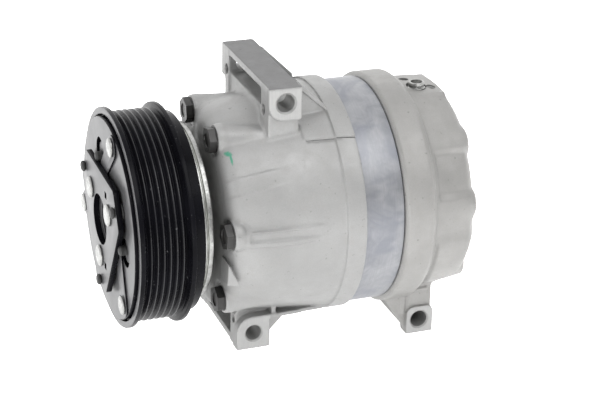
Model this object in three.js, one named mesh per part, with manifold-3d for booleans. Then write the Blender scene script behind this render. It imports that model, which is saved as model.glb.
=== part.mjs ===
// Variable-displacement wobble-plate air-conditioning compressor with an
// electromagnetic belt clutch. Millimetres, +Z up, shaft axis along X with the
// belt pulley at -X. The origin lies on the shaft axis, in the plane through the
// bolt bore of the upper lug.
import * as THREE from 'three';
import { mergeVertices } from 'three/addons/utils/BufferGeometryUtils.js';
import Module from 'manifold-3d';

const wasm = await Module();
wasm.setup();

// ------------------------------------------------------------------ dimensions
const LUG_X = 4.3;            // upper lug bore, measured from the layout zero
const GAP = 0.3;              // running or joint gap between neighbouring pieces

const SHELL_SEG = 32;         // facets round the big castings
const BOLT_CIRCLE_R = 54.5;
const BOLT_ANGLES = [112, 64.5, 5.9, -46.1, -113, 179];   // degrees, from -Y towards +Z
const BOLT_SEAT_X = -28.5;
const BOLT_HEAD_AF = 13;
const BOLT_HOLE_R = 4.4;
const BOLT_END_X = 82;

const HEAD_REAR_X = 42;       // rear edge of the front head
const BAND_R = 64;            // machined band of the cylinder block
const REAR_FRONT_X = 65;      // front edge of the rear head
const REAR_END_X = 111.3;
const PORT_FACE_X = 119.5;        // machined face that the line block seals on

const CRANK_R = 49.5;         // crankcase cavity
const PISTON_PITCH_R = 32.5;
const PISTON_R = 16.1;
const BORE_R = 16.4;
const PISTON_ANGLES = [90, 162, 234, 306, 18];
const PLATE_X = 10;           // centre of the wobble plate and of its tilt axis
const PLATE_R = 44;
const PLATE_HALF_T = 6;

const BELT_CREST_R = 59.0;
const BELT_ROOT_R = 56.4;
const BELT_FLANGE_R = 61.4;
const BELT_PITCH = 3.56;
const BELT_FIRST_CREST_X = -76.8;
const DISC_R = 56.4;          // armature disc
const CORNER_DEG = 28.6;      // first corner of the triangular driver plate
const DISC_RIVET_DEG = 72.5;
const PLATE_RIVET_R = 22.2;
const DISC_RIVET_R = 50.1;
const BUMPER_R = 37.0;

const LUG_NEAR_Y = -37;       // machined near faces of all the lugs
const LUG_FAR_Y = 47;
const LOW_FAR_Y = 37;
const LUG_BORE_R = 5.1;
const LOW_BORE_R = 4.5;

// -------------------------------------------------------------------- helpers
const rad = (d) => (d * Math.PI) / 180;
const polar = (r, deg) => [-r * Math.cos(rad(deg)), r * Math.sin(rad(deg))];   // [y, z]

function toSolid(geometry) {
  const g = geometry.clone();
  for (const name of Object.keys(g.attributes)) if (name !== 'position') g.deleteAttribute(name);
  const m = mergeVertices(g, 1e-4);
  const pos = m.attributes.position.array;
  const src = m.index.array;
  const tri = [];
  for (let i = 0; i < src.length; i += 3) {
    const [a, b, c] = [src[i], src[i + 1], src[i + 2]];
    if (a !== b && b !== c && a !== c) tri.push(a, b, c);
  }
  let volume = 0;
  for (let i = 0; i < tri.length; i += 3) {
    const [a, b, c] = [tri[i] * 3, tri[i + 1] * 3, tri[i + 2] * 3];
    volume += pos[a] * (pos[b + 1] * pos[c + 2] - pos[b + 2] * pos[c + 1])
      - pos[a + 1] * (pos[b] * pos[c + 2] - pos[b + 2] * pos[c])
      + pos[a + 2] * (pos[b] * pos[c + 1] - pos[b + 1] * pos[c]);
  }
  if (volume < 0) for (let i = 0; i < tri.length; i += 3) [tri[i + 1], tri[i + 2]] = [tri[i + 2], tri[i + 1]];
  return new wasm.Manifold(new wasm.Mesh({
    numProp: 3, vertProperties: new Float32Array(pos), triVerts: new Uint32Array(tri),
  }));
}

const TO_X = new THREE.Matrix4().makeBasis(new THREE.Vector3(0, 0, 1), new THREE.Vector3(1, 0, 0), new THREE.Vector3(0, 1, 0));
const SECTION_TO_X = new THREE.Matrix4().makeBasis(new THREE.Vector3(0, 1, 0), new THREE.Vector3(0, 0, 1), new THREE.Vector3(1, 0, 0));

// revolve [x, r] pairs about the shaft axis
function turned(profile, segments, y = 0, z = 0) {
  const closed = profile[0][1] > 1e-6 || profile[profile.length - 1][1] > 1e-6;
  const pts = profile.map(([x, r]) => new THREE.Vector2(r, x));
  if (closed) pts.push(pts[0].clone());
  const g = new THREE.LatheGeometry(pts, segments);
  g.applyMatrix4(TO_X);
  g.translate(0, y, z);
  return toSolid(g);
}

// cylinder along X
function rod(x0, x1, r, y, z, segments = 16) {
  return turned([[x0, 0], [x0, r], [x1, r], [x1, 0]], segments, y, z);
}

// cylinder along Y
function rodY(y0, y1, r, x, z, segments = 16) {
  const g = new THREE.CylinderGeometry(r, r, y1 - y0, segments);
  g.translate(x, (y0 + y1) / 2, z);
  return toSolid(g);
}

// cylinder along Z
function rodZ(z0, z1, r, x, y, segments = 16) {
  const g = new THREE.CylinderGeometry(r, r, z1 - z0, segments);
  g.rotateX(Math.PI / 2);
  g.translate(x, y, (z0 + z1) / 2);
  return toSolid(g);
}

function box(x0, x1, y0, y1, z0, z1) {
  const g = new THREE.BoxGeometry(x1 - x0, y1 - y0, z1 - z0);
  g.translate((x0 + x1) / 2, (y0 + y1) / 2, (z0 + z1) / 2);
  return toSolid(g);
}

function outline(points) {
  const s = new THREE.Shape();
  points.forEach(([u, v], i) => (i ? s.lineTo(u, v) : s.moveTo(u, v)));
  s.closePath();
  return s;
}

// polygon of [x, z] pairs, extruded from y0 to y1
function slabY(points, y0, y1) {
  const g = new THREE.ExtrudeGeometry(outline(points), { depth: y1 - y0, bevelEnabled: false, curveSegments: 6 });
  g.rotateX(Math.PI / 2);
  g.translate(0, y1, 0);
  return toSolid(g);
}

// polygon of [y, z] pairs, extruded from x0 to x1
function slabX(points, x0, x1) {
  const g = new THREE.ExtrudeGeometry(outline(points), { depth: x1 - x0, bevelEnabled: false, curveSegments: 6 });
  g.applyMatrix4(SECTION_TO_X);
  g.translate(x0, 0, 0);
  return toSolid(g);
}

// [u, v] corners with a radius each, as a point list
function rounded(corners, steps = 4) {
  const out = [];
  const n = corners.length;
  corners.forEach(([u, v, r = 0], i) => {
    if (!r) { out.push([u, v]); return; }
    const [pu, pv] = corners[(i + n - 1) % n];
    const [nu, nv] = corners[(i + 1) % n];
    const a = Math.hypot(pu - u, pv - v);
    const b = Math.hypot(nu - u, nv - v);
    const da = [(pu - u) / a, (pv - v) / a];
    const db = [(nu - u) / b, (nv - v) / b];
    const half = Math.acos(da[0] * db[0] + da[1] * db[1]) / 2;
    const t = r / Math.tan(half);
    const p0 = [u + da[0] * t, v + da[1] * t];
    const p1 = [u + db[0] * t, v + db[1] * t];
    const w = r / Math.sin(half);
    const m = Math.hypot(da[0] + db[0], da[1] + db[1]);
    const c = [u + ((da[0] + db[0]) / m) * w, v + ((da[1] + db[1]) / m) * w];
    let a0 = Math.atan2(p0[1] - c[1], p0[0] - c[0]);
    let a1 = Math.atan2(p1[1] - c[1], p1[0] - c[0]);
    if (a1 - a0 > Math.PI) a1 -= 2 * Math.PI;
    if (a0 - a1 > Math.PI) a1 += 2 * Math.PI;
    for (let k = 0; k <= steps; k += 1) {
      const q = a0 + ((a1 - a0) * k) / steps;
      out.push([c[0] + r * Math.cos(q), c[1] + r * Math.sin(q)]);
    }
  });
  return out;
}

// tangent outline round two circles in the [y, z] plane
function link(c0, r0, c1, r1, steps = 6) {
  const dy = c1[0] - c0[0];
  const dz = c1[1] - c0[1];
  const d = Math.hypot(dy, dz);
  const base = Math.atan2(dz, dy);
  const off = Math.acos((r0 - r1) / d);
  const out = [];
  for (let k = 0; k <= steps; k += 1) {
    const q = base + off + ((2 * Math.PI - 2 * off) * k) / steps;
    out.push([c0[0] + r0 * Math.cos(q), c0[1] + r0 * Math.sin(q)]);
  }
  for (let k = 0; k <= steps; k += 1) {
    const q = base - off + (2 * off * k) / steps;
    out.push([c1[0] + r1 * Math.cos(q), c1[1] + r1 * Math.sin(q)]);
  }
  return out;
}

const all = (solids) => solids.reduce((a, b) => a.add(b));

const root = new THREE.Group();
root.position.x = -LUG_X;

function piece(name, solid, color, roughness, metalness) {
  const m = solid.getMesh();
  const g = new THREE.BufferGeometry();
  g.setAttribute('position', new THREE.BufferAttribute(new Float32Array(m.vertProperties), 3));
  g.setIndex(new THREE.BufferAttribute(new Uint32Array(m.triVerts), 1));
  g.computeVertexNormals();
  const mesh = new THREE.Mesh(g, new THREE.MeshStandardMaterial({ color, roughness, metalness }));
  mesh.name = name;
  root.add(mesh);
}

const CAST = [0xb4b4b1, 0.6, 0.7];
const MACHINED = [0xb9bcc4, 0.32, 0.9];
const STEEL = [0x8d8f92, 0.35, 0.9];
const ZINC = [0xc9c8c0, 0.3, 0.9];
const BLACK_PAINT = [0x17171a, 0.28, 0.2];
const BLACK_BOLT = [0x1d1c1c, 0.5, 0.5];
const RUBBER = [0x151515, 0.8, 0.0];
const COPPER = [0xa5562c, 0.4, 0.8];
const PLASTIC = [0x1b1b1d, 0.5, 0.0];
const BRASS = [0xb08d4a, 0.35, 0.9];

// ------------------------------------------------------------------ front head
let head = turned([
  [-77.5, 0], [-77.5, 15.0], [-76.5, 17.2], [-53.2, 17.2], [-53.2, 21.0], [-39.4, 26],
  [-39.4, 44], [-36.0, 47.5], [-34, 53], [-26, 58.3], [-5, 61.1],
  [30.5, 65.2], [31.2, 66.0], [HEAD_REAR_X, 66.0], [HEAD_REAR_X, 0],
], SHELL_SEG);
const bossTurned = (deg) => {
  const [y, z] = polar(BOLT_CIRCLE_R, deg);
  return turned([[BOLT_SEAT_X - 4, 0], [BOLT_SEAT_X - 4, 9.3], [-4, 9.1], [6, 6.1], [6, 0]], 12, y, z);
};
head = head.add(all(BOLT_ANGLES.map(bossTurned)));

// upper bridge lug: near post with its bored boss, far post, bar and back web
const upperPost = [[-4.5, 42], [12.8, 42], [12.8, 79], [-4.5, 79]];
head = all([head,
  slabY(rounded([[-5, 60, 11], [13.3, 60], [13.3, 79.4], [-5, 79.4]]), LUG_NEAR_Y, LUG_NEAR_Y + 4),
  slabY(upperPost, LUG_NEAR_Y + 1, -22),
  slabY(upperPost, 33.5, LUG_FAR_Y - 6),
  slabY([[-5, 64], [13.3, 64], [13.3, 79.4], [-5, 79.4]], 34, LUG_FAR_Y),
  box(-4.8, 13.1, LUG_NEAR_Y + 2, LUG_FAR_Y - 2, 75.3, 79.2),
  box(-4.2, 12.4, -30, 38, 48, 65.6),
  slabY([[10, 78.6], [13.5, 78.6], [29.5, 61.5], [29.5, 50], [10, 50]], -34, -30),
  slabY([[10, 78.6], [13.5, 78.6], [29.5, 61.5], [29.5, 46], [10, 46]], 35.5, 39.5),
]);
// front lower lug: posts, bar, long shelf and its gusset
head = all([head,
  slabY(rounded([[-22.6, -54.5, 10], [-22.6, -74], [-3.1, -74], [-3.1, -54.5]]), LUG_NEAR_Y, LUG_NEAR_Y + 4),
  slabY([[-22.2, -60], [-22.2, -73.6], [-3.5, -73.6], [-3.5, -48], [-16, -48]], LUG_NEAR_Y + 1, -23),
  slabY([[-22.2, -60], [-22.2, -73.6], [-3.5, -73.6], [-3.5, -48], [-16, -48]], 23, LOW_FAR_Y - 1),
  slabY(rounded([[-22.6, -56, 10], [-22.6, -74], [-3.1, -74], [-3.1, -56]]), LOW_FAR_Y - 4, LOW_FAR_Y),
  box(-21.9, -3.8, LUG_NEAR_Y + 2, LOW_FAR_Y - 2, -73.8, -70),
  box(-8, 41, LUG_NEAR_Y + 0.3, -24, -57, -54.4),
  box(-8, 41, 24, LOW_FAR_Y - 0.3, -57, -54.4),
  slabY([[-6, -56], [6, -56], [-3, -65], [-6, -65]], LUG_NEAR_Y + 2, LUG_NEAR_Y + 6),
]);
// cut the crankcase, bolt seats, bolt holes and lug bores
head = head.subtract(turned([[-90, 0], [-90, 12.2], [-58, 12.2], [-58, 9.5], [-36, 9.5], [-36, 12.5], [-22, 12.5],
  [-22, CRANK_R], [28, CRANK_R], [28, 59.2], [60, 59.2], [60, 0]], 32));
head = head.subtract(all(BOLT_ANGLES.map((d) => {
  const [y, z] = polar(BOLT_CIRCLE_R, d);
  return rod(-55, BOLT_SEAT_X, 9.8, y, z, 12).add(rod(-40, 30, BOLT_HOLE_R, y, z, 8));
})));
head = head.subtract(all([
  rodY(LUG_NEAR_Y - 1, -20, LUG_BORE_R, 4.3, 70.6),
  rodY(32, LUG_FAR_Y + 1, LUG_BORE_R, 4.3, 70.6),
  rodY(LUG_NEAR_Y - 1, -21, LOW_BORE_R, -12.5, -64.6),
  rodY(22, LOW_FAR_Y + 1, LOW_BORE_R, -12.5, -64.6),
]));
piece('front_head', head, ...CAST);

// -------------------------------------------------------------- cylinder block
let block = turned([
  [28.3, 50.3], [28.3, 58.9], [42.3, 58.9], [42.3, 60.2], [44.3, 60.2], [44.3, 62.6], [42.3, 62.6],
  [42.3, BAND_R], [64.7, BAND_R], [64.7, 10.5], [33.3, 10.5], [33.3, 50.3],
], SHELL_SEG);
block = block.subtract(all([
  ...PISTON_ANGLES.map((d) => rod(20, 70, BORE_R + 0.15, ...polar(PISTON_PITCH_R, d), 20)),
  ...BOLT_ANGLES.map((d) => rod(20, 70, BOLT_HOLE_R, ...polar(BOLT_CIRCLE_R, d), 8)),
]));
piece('cylinder_block', block, ...MACHINED);
piece('front_o_ring', turned([[42.4, 60.6], [42.4, 62.2], [44.0, 62.2], [44.0, 60.6]], SHELL_SEG), ...RUBBER);

// ------------------------------------------------------------------ valve pack
const valveHoles = (x0, x1, r) => all(PISTON_ANGLES.map((d) => rod(x0, x1, r, ...polar(PISTON_PITCH_R + 6, d), 6)));
const dischargeHoles = (x0, x1, r) => all(PISTON_ANGLES.map((d) => rod(x0, x1, r, ...polar(19.5, d), 6)));
piece('head_gasket', turned([[65.0, 0], [65.0, 50], [65.5, 50], [65.5, 0]], 24)
  .subtract(all(PISTON_ANGLES.map((d) => rod(60, 70, 15.8, ...polar(PISTON_PITCH_R, d), 10)))), 0x3a3a3c, 0.8, 0.1);
piece('suction_reed', turned([[65.8, 0], [65.8, 50], [66.05, 50], [66.05, 0]], 24)
  .subtract(dischargeHoles(60, 70, 3.4)), ...STEEL);
piece('valve_plate', turned([[66.35, 0], [66.35, 50], [69.3, 50], [69.3, 0]], 24)
  .subtract(valveHoles(60, 75, 4)).subtract(dischargeHoles(60, 75, 3)), ...STEEL);

// ------------------------------------------------------------------- rear head
let rear = turned([
  [REAR_FRONT_X, 0], [REAR_FRONT_X, 64.4], [66.8, 66.6], [80.8, 66.6], [83.7, 64.4], [84.4, 61],
  [98, 59.2], [105, 56.4], [109.6, 51.5], [REAR_END_X, 45], [REAR_END_X, 0],
], SHELL_SEG);
const rearBoss = (deg, x1, r) => {
  const [y, z] = polar(BOLT_CIRCLE_R - 3, deg);
  return turned([[80, 0], [80, r], [x1 - 1.5, r], [x1, r - 1.8], [x1, 0]], 9, y, z);
};
rear = all([rear,
  ...[[5.9, REAR_END_X], [-46.1, 109], [44, 109], [112, 108], [-113, 109], [179, 109]].map(([d, x]) => rearBoss(d, x, 8.2)),
  box(83, 107, -16.2, 16.2, 40, 59),
  // web and shelves above the mounting foot
  box(82.4, 94.8, -28, 28, -63.3, -48),
  box(68, 92, LUG_NEAR_Y + 1, -26, -57, -54.5),
  box(68, 92, 26, LOW_FAR_Y - 1, -57, -54.5),
]);
// the mounting foot and the port block are parts of the same casting, kept as
// solids of their own so that their bores stay simple
let foot = all([
  slabY(rounded([[81.4, -63.7, 4], [81.4, -80.4], [97, -80.4], [97, -63.7, 4]], 3), LUG_NEAR_Y, LUG_NEAR_Y + 8),
  slabY(rounded([[81.4, -63.7, 4], [81.4, -80.4], [97, -80.4], [97, -63.7, 4]], 3), LOW_FAR_Y - 8, LOW_FAR_Y),
  box(81.8, 96.2, LUG_NEAR_Y + 4, LOW_FAR_Y - 4, -80.0, -63.9),
]);
foot = foot.subtract(all([
  rodY(LUG_NEAR_Y - 1, LOW_FAR_Y + 1, 5, 88.5, -71.8),
  turned([[60, 0], [60, 67], [81, 67], [84.1, 64.8], [84.8, 61.4], [99, 59.6], [99, 0]], SHELL_SEG),
]));
piece('rear_foot', foot, ...CAST);
const portOutline = (grow) => link([24.5, 24.5], 15 + grow, [1, 1], 13 + grow);
let portBlock = slabX(portOutline(0), 105, PORT_FACE_X);
portBlock = portBlock.subtract(all([
  rod(90, 125, 9, 24.5, 24.5, 16), rod(92, 125, 7, 1, 1, 12), rod(104, 125, 3.4, 12.7, 12.7, 8),
]));
piece('rear_port_block', portBlock, ...CAST);
rear = rear.subtract(turned([[60, 0], [60, 50.8], [69.6, 50.8], [69.6, 0]], 24));
rear = rear.subtract(turned([[60, 60.5], [67.1, 60.5], [67.1, 62.9], [60, 62.9]], 32));
rear = rear.subtract(turned([[69.2, 28], [69.2, 47.3], [94, 46], [94, 29]], 16));
rear = rear.subtract(turned([[69.2, 0], [69.2, 24.5], [96, 23.5], [96, 0]], 16));
rear = rear.subtract(all(BOLT_ANGLES.map((d) => rod(60, 84, BOLT_HOLE_R, ...polar(BOLT_CIRCLE_R, d), 8))));
rear = rear.subtract(all([
  slabX(portOutline(0.35), 104.7, 125),
  rod(90, 125, 9, 24.5, 24.5, 16),              // suction passage
  rod(92, 125, 7, 1, 1, 12),                    // discharge passage
  rod(99.4, 120, 9.5, 4, -31, 16),              // control valve bore
  rodZ(51.9, 64, 5.3, 93.2, -6.5, 12),          // relief valve seat
  rodZ(52, 64, 2.3, 101.5, -7.8, 6),
  rodZ(52, 64, 2.3, 90.2, 5, 6),
]));
piece('rear_head', rear, ...CAST);
piece('rear_o_ring', turned([[65.1, 60.9], [65.1, 62.5], [66.8, 62.5], [66.8, 60.9]], SHELL_SEG), ...RUBBER);
piece('control_valve', turned([[99.7, 0], [99.7, 9.0], [103, 9.0], [103.6, 8.0], [105.2, 8.0], [105.8, 9.0], [110.6, 9.0],
  [110.6, 5.5], [112.6, 5.5], [112.6, 0]], 18, 4, -31), ...BRASS);
{
  const g = new THREE.LatheGeometry([[0, 52.3], [4.8, 52.3], [4.8, 59.4], [4.5, 59.9], [4.5, 63.2], [3.3, 63.5], [3.0, 61.2], [0, 61.2]]
    .map(([r, h]) => new THREE.Vector2(r, h)), 16);
  g.rotateX(Math.PI / 2);
  g.translate(93.2, -6.5, 0);
  piece('relief_valve', toSolid(g), ...ZINC);
}

// --------------------------------------------------------------- through bolts
BOLT_ANGLES.forEach((d, i) => {
  const [y, z] = polar(BOLT_CIRCLE_R, d);
  const headR = BOLT_HEAD_AF / 2 / Math.cos(Math.PI / 6);
  const b = all([
    turned([[-35.7, 0], [-35.7, headR - 0.9], [-35.2, headR], [-29.6, headR], [-29.6, 0]], 6, y, z),
    rod(-30, BOLT_SEAT_X - GAP, 7.9, y, z, 12),
    rod(-29, BOLT_END_X, 4.0, y, z, 8),
  ]);
  piece(`through_bolt_${i + 1}`, b, ...BLACK_BOLT);
});

// ------------------------------------------------- clutch parts on the housing
piece('bearing_inner_race', turned([[-73.5, 17.7], [-73.5, 20.6], [-66, 20.6], [-65, 19.8], [-62, 19.8], [-61, 20.6], [-53.5, 20.6], [-53.5, 17.7]], 20), ...STEEL);
piece('bearing_circlip', turned([[-75.6, 18.0], [-75.6, 20.8], [-73.9, 20.8], [-73.9, 18.0]], 16), ...BLACK_BOLT);
piece('coil_housing', turned([
  [-73, 33], [-73, 35.5], [-46, 35.5], [-46, 46.6], [-73, 46.6], [-73, 49.2], [-45.6, 49.2], [-45, 49.5],
  [-39.75, 49.5], [-39.75, 30], [-43, 30], [-43, 33],
], 28), ...ZINC);
piece('coil_winding', turned([[-72, 36.2], [-72, 45.8], [-46.4, 45.8], [-46.4, 36.2]], 28), ...COPPER);
{
  const [y, z] = polar(55, 200);
  piece('coil_connector', box(-45.2, -37.8, y - 1.4, y + 7.6, z - 7, z + 7), ...PLASTIC);
}

// ---------------------------------------------------------------------- pulley
const beltProfile = [];
for (let k = 0; k < 7; k += 1) {
  const rootX = BELT_FIRST_CREST_X + BELT_PITCH * (k - 0.5);
  beltProfile.push([rootX, BELT_ROOT_R]);
  if (k < 6) beltProfile.push([rootX + BELT_PITCH / 2, BELT_CREST_R]);
}
piece('pulley', turned([
  [-80.6, 26], [-80.6, 57.2], [-83.6, 57.6], [-83.6, 61.0], [-83.2, BELT_FLANGE_R], [-80.9, BELT_FLANGE_R],
  ...beltProfile,
  [-55.3, BELT_FLANGE_R], [-53.0, BELT_FLANGE_R], [-52.6, 61.0], [-52.4, 56.1], [-46.1, 55.9],
  [-46.1, 50.7], [-75, 50.7], [-75, 31.4], [-50.5, 31.4], [-50.5, 27.8], [-75.6, 27.8], [-75.6, 26],
], 32), ...BLACK_PAINT);
piece('bearing_outer_race', turned([[-73.5, 24.4], [-73.5, 27.5], [-53.5, 27.5], [-53.5, 24.4], [-61, 24.4], [-62, 25.2], [-65, 25.2], [-66, 24.4]], 20), ...STEEL);

// ------------------------------------------------------- shaft and driver plate
piece('shaft', turned([
  [-85.2, 0], [-85.2, 4.4], [-84.6, 5], [-80, 5], [-80, 7], [-58, 7], [-57, 8], [40, 8], [40, 7], [59, 7], [59, 0],
], 20), ...STEEL);
piece('hub', turned([
  [-86.5, 14.2], [-86.5, 16.2], [-82, 16.2], [-79.6, 11.6], [-73, 11.6], [-73, 7.3], [-79.8, 7.3], [-79.8, 14.2],
], 20), ...BLACK_PAINT);
piece('shaft_nut', turned([[-84.4, 5.3], [-84.4, 8.8], [-84, 9.3], [-80.1, 9.3], [-80.1, 5.3]], 6)
  .subtract(rod(-90, -70, 5.35, 0, 0, 16)), ...ZINC);
const corner = (k, d) => polar(42, CORNER_DEG + 120 * k + d);
let driver = slabX([0, 1, 2].flatMap((k) => [corner(k, -15), corner(k, 15)]), -90, -86.8);
driver = driver.subtract(all([
  rod(-95, -80, 14.3, 0, 0, 20),
  ...[0, 1, 2].flatMap((k) => [
    rod(-95, -80, 2.8, ...polar(PLATE_RIVET_R, CORNER_DEG + 120 * k), 10),
    rod(-95, -80, 2.4, ...polar(BUMPER_R, CORNER_DEG + 120 * k), 10),
  ]),
]));
piece('driver_plate', driver, ...BLACK_PAINT);
for (let k = 0; k < 3; k += 1) {
  const pr = polar(PLATE_RIVET_R, CORNER_DEG + 120 * k);
  const dr = polar(DISC_RIVET_R, DISC_RIVET_DEG + 120 * k);
  const inner = polar(PLATE_RIVET_R, CORNER_DEG + 120 * (k + 1));
  const bp = polar(BUMPER_R, CORNER_DEG + 120 * k);
  piece(`plate_rivet_${k + 1}`, turned([[-91.7, 0], [-91.7, 5.0], [-91.2, 6.0], [-90.3, 6.0], [-90.3, 2.45], [-85.4, 2.45], [-85.4, 3.4], [-84.4, 3.4], [-84.4, 0]], 12, ...pr), ...ZINC);
  piece(`rubber_bumper_${k + 1}`, turned([[-92.4, 0], [-92.4, 2.2], [-91.8, 3.1], [-90.3, 3.1], [-90.3, 2.05], [-86.5, 2.05], [-86.5, 4.6], [-85.7, 4.6], [-85.7, 0]], 10, ...bp), ...RUBBER);
  const leaf = slabX(link(dr, 6.8, inner, 4.6), -86.5, -85.7).subtract(all([
    rod(-95, -80, 2.8, ...inner, 10), rod(-95, -80, 2.8, ...dr, 10)]));
  piece(`leaf_spring_${k + 1}`, leaf, ...STEEL);
  piece(`disc_rivet_${k + 1}`, turned([[-88.4, 0], [-88.4, 4.4], [-88.0, 5.3], [-87.1, 5.3], [-87.1, 2.45], [-81.6, 2.45], [-81.6, 0]], 12, ...dr), ...ZINC);
}
let disc = turned([[-85.4, 27], [-85.4, 55.9], [-84.9, DISC_R], [-81.15, DISC_R], [-81.15, 27]], SHELL_SEG);
disc = disc.subtract(all([
  ...[0, 1, 2].map((k) => rod(-90, -80, 7.4, ...polar(38.8, -7 + 120 * k), 12)),
  ...[0, 1, 2].map((k) => rod(-90, -80, 2.8, ...polar(DISC_RIVET_R, DISC_RIVET_DEG + 120 * k), 10)),
]));
piece('armature_disc', disc, ...BLACK_PAINT);

// ------------------------------------------------------------ inside the casing
piece('shaft_seal', turned([[-72, 7.3], [-72, 11.9], [-60, 11.9], [-60, 9.5], [-66, 9.2], [-70, 7.3]], 20), ...RUBBER);
piece('front_bearing', turned([[-35.7, 8.3], [-35.7, 12.2], [-23, 12.2], [-23, 8.3]], 20), ...STEEL);
piece('rear_bearing', turned([[41, 7.3], [41, 10.2], [57, 10.2], [57, 7.3]], 20), ...STEEL);
piece('guide_pin', rod(-21.7, 33, 1.9, 0, -46.9, 8), ...STEEL);
piece('drive_lug', turned([[-20.5, 8.3], [-20.5, 34], [-13.5, 34], [-13.5, 16], [-10, 14], [-10, 8.3]], 24)
  .add(box(-14, -9.8, -5, 5, 19, 31)), ...STEEL);

// wobble plate on its journal: the shaft opening is a slot, so that both can tilt
const slotZ = (x0, x1, r, half, y, z, seg) => slabX(
  link([y, z - half], r, [y, z + half], r, seg), x0, x1);
let wobble = turned([[PLATE_X - PLATE_HALF_T, 20.4], [PLATE_X - PLATE_HALF_T, PLATE_R - 1.5], [PLATE_X - 4, PLATE_R],
  [PLATE_X + 4, PLATE_R], [PLATE_X + PLATE_HALF_T, PLATE_R - 1.5], [PLATE_X + PLATE_HALF_T, 20.4]], 24);
wobble = wobble.subtract(all(PISTON_ANGLES.map((d) => {
  const [y, z] = polar(PISTON_PITCH_R, d);
  return slotZ(0, 20, 6.4, 2.2, y, z, 5);
})));
piece('wobble_plate', wobble, ...CAST);
piece('journal', turned([[0.2, 0], [0.2, 24], [3.7, 24], [3.7, 20], [16, 20], [16, 0]], 28)
  .subtract(slotZ(-5, 25, 8.5, 4.2, 0, 0, 8)), ...STEEL);

// pistons and their ball-ended rods
const ball = (cx, r, x0, x1, n) => {
  const pts = [];
  for (let k = 0; k <= n; k += 1) {
    const x = x0 + ((x1 - x0) * k) / n;
    pts.push([x, Math.sqrt(Math.max(0, r * r - (x - cx) ** 2))]);
  }
  return pts;
};
PISTON_ANGLES.forEach((d, i) => {
  const [y, z] = polar(PISTON_PITCH_R, d);
  piece(`piston_${i + 1}`, turned([[38, 10], [38, PISTON_R], [53, PISTON_R], [53, 0], [49.5, 0], [49.5, 10]], 16, y, z), ...MACHINED);
  piece(`piston_rod_${i + 1}`, turned([...ball(10, 6, 4, 15.07, 5), [38.5, 3.2], ...ball(43, 5.5, 40, 48.5, 3)], 8, y, z), ...STEEL);
});

export default root;
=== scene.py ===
import bpy
import math
import numpy as np
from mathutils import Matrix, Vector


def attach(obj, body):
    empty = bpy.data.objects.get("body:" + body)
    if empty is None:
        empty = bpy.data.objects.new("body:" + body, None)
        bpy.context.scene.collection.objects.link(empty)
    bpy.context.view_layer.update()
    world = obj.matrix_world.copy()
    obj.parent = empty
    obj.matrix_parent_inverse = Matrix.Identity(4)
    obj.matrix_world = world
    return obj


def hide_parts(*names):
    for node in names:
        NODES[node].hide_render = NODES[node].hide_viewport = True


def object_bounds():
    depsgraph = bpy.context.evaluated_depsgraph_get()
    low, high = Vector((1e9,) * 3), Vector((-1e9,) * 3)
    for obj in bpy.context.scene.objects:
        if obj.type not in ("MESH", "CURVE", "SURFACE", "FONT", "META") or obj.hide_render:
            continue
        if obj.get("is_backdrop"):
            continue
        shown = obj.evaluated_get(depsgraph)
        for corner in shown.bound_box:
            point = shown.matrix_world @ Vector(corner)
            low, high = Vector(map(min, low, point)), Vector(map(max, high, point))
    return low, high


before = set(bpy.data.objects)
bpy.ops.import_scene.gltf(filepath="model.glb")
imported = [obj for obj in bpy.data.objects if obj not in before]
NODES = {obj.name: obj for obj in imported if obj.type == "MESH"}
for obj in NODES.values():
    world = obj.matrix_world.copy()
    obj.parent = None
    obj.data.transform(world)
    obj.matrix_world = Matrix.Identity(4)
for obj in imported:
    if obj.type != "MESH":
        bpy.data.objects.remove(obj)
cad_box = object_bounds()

import openvdb
from mathutils import Matrix, Vector

LUG_X = 4.3                    # layout zero to the frame's origin, mm
VOX = 0.75
RING = 192

BOLT_R = 54.5
BOLT_ANGLES = [112, 64.5, 5.9, -46.1, -113, 179]
BOSS_FACE = -31.6
PISTON_ANGLES = [90, 162, 234, 306, 18]


def polar(r, deg):
    a = math.radians(deg)
    return -r * math.cos(a), r * math.sin(a)


# ---------------------------------------------------------------- mesh helpers
class M:
    """Vertices (layout mm) and faces."""

    def __init__(self, v, f):
        self.v = np.asarray(v, float).reshape(-1, 3)
        self.f = list(f)


def volume(v, faces):
    tot = 0.0
    for f in faces:
        a = v[f[0]]
        for i in range(1, len(f) - 1):
            tot += float(np.dot(a, np.cross(v[f[i]], v[f[i + 1]])))
    return tot


def outward(m):
    if volume(m.v, m.f) < 0:
        m.f = [tuple(reversed(f)) for f in m.f]
    return m


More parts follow.
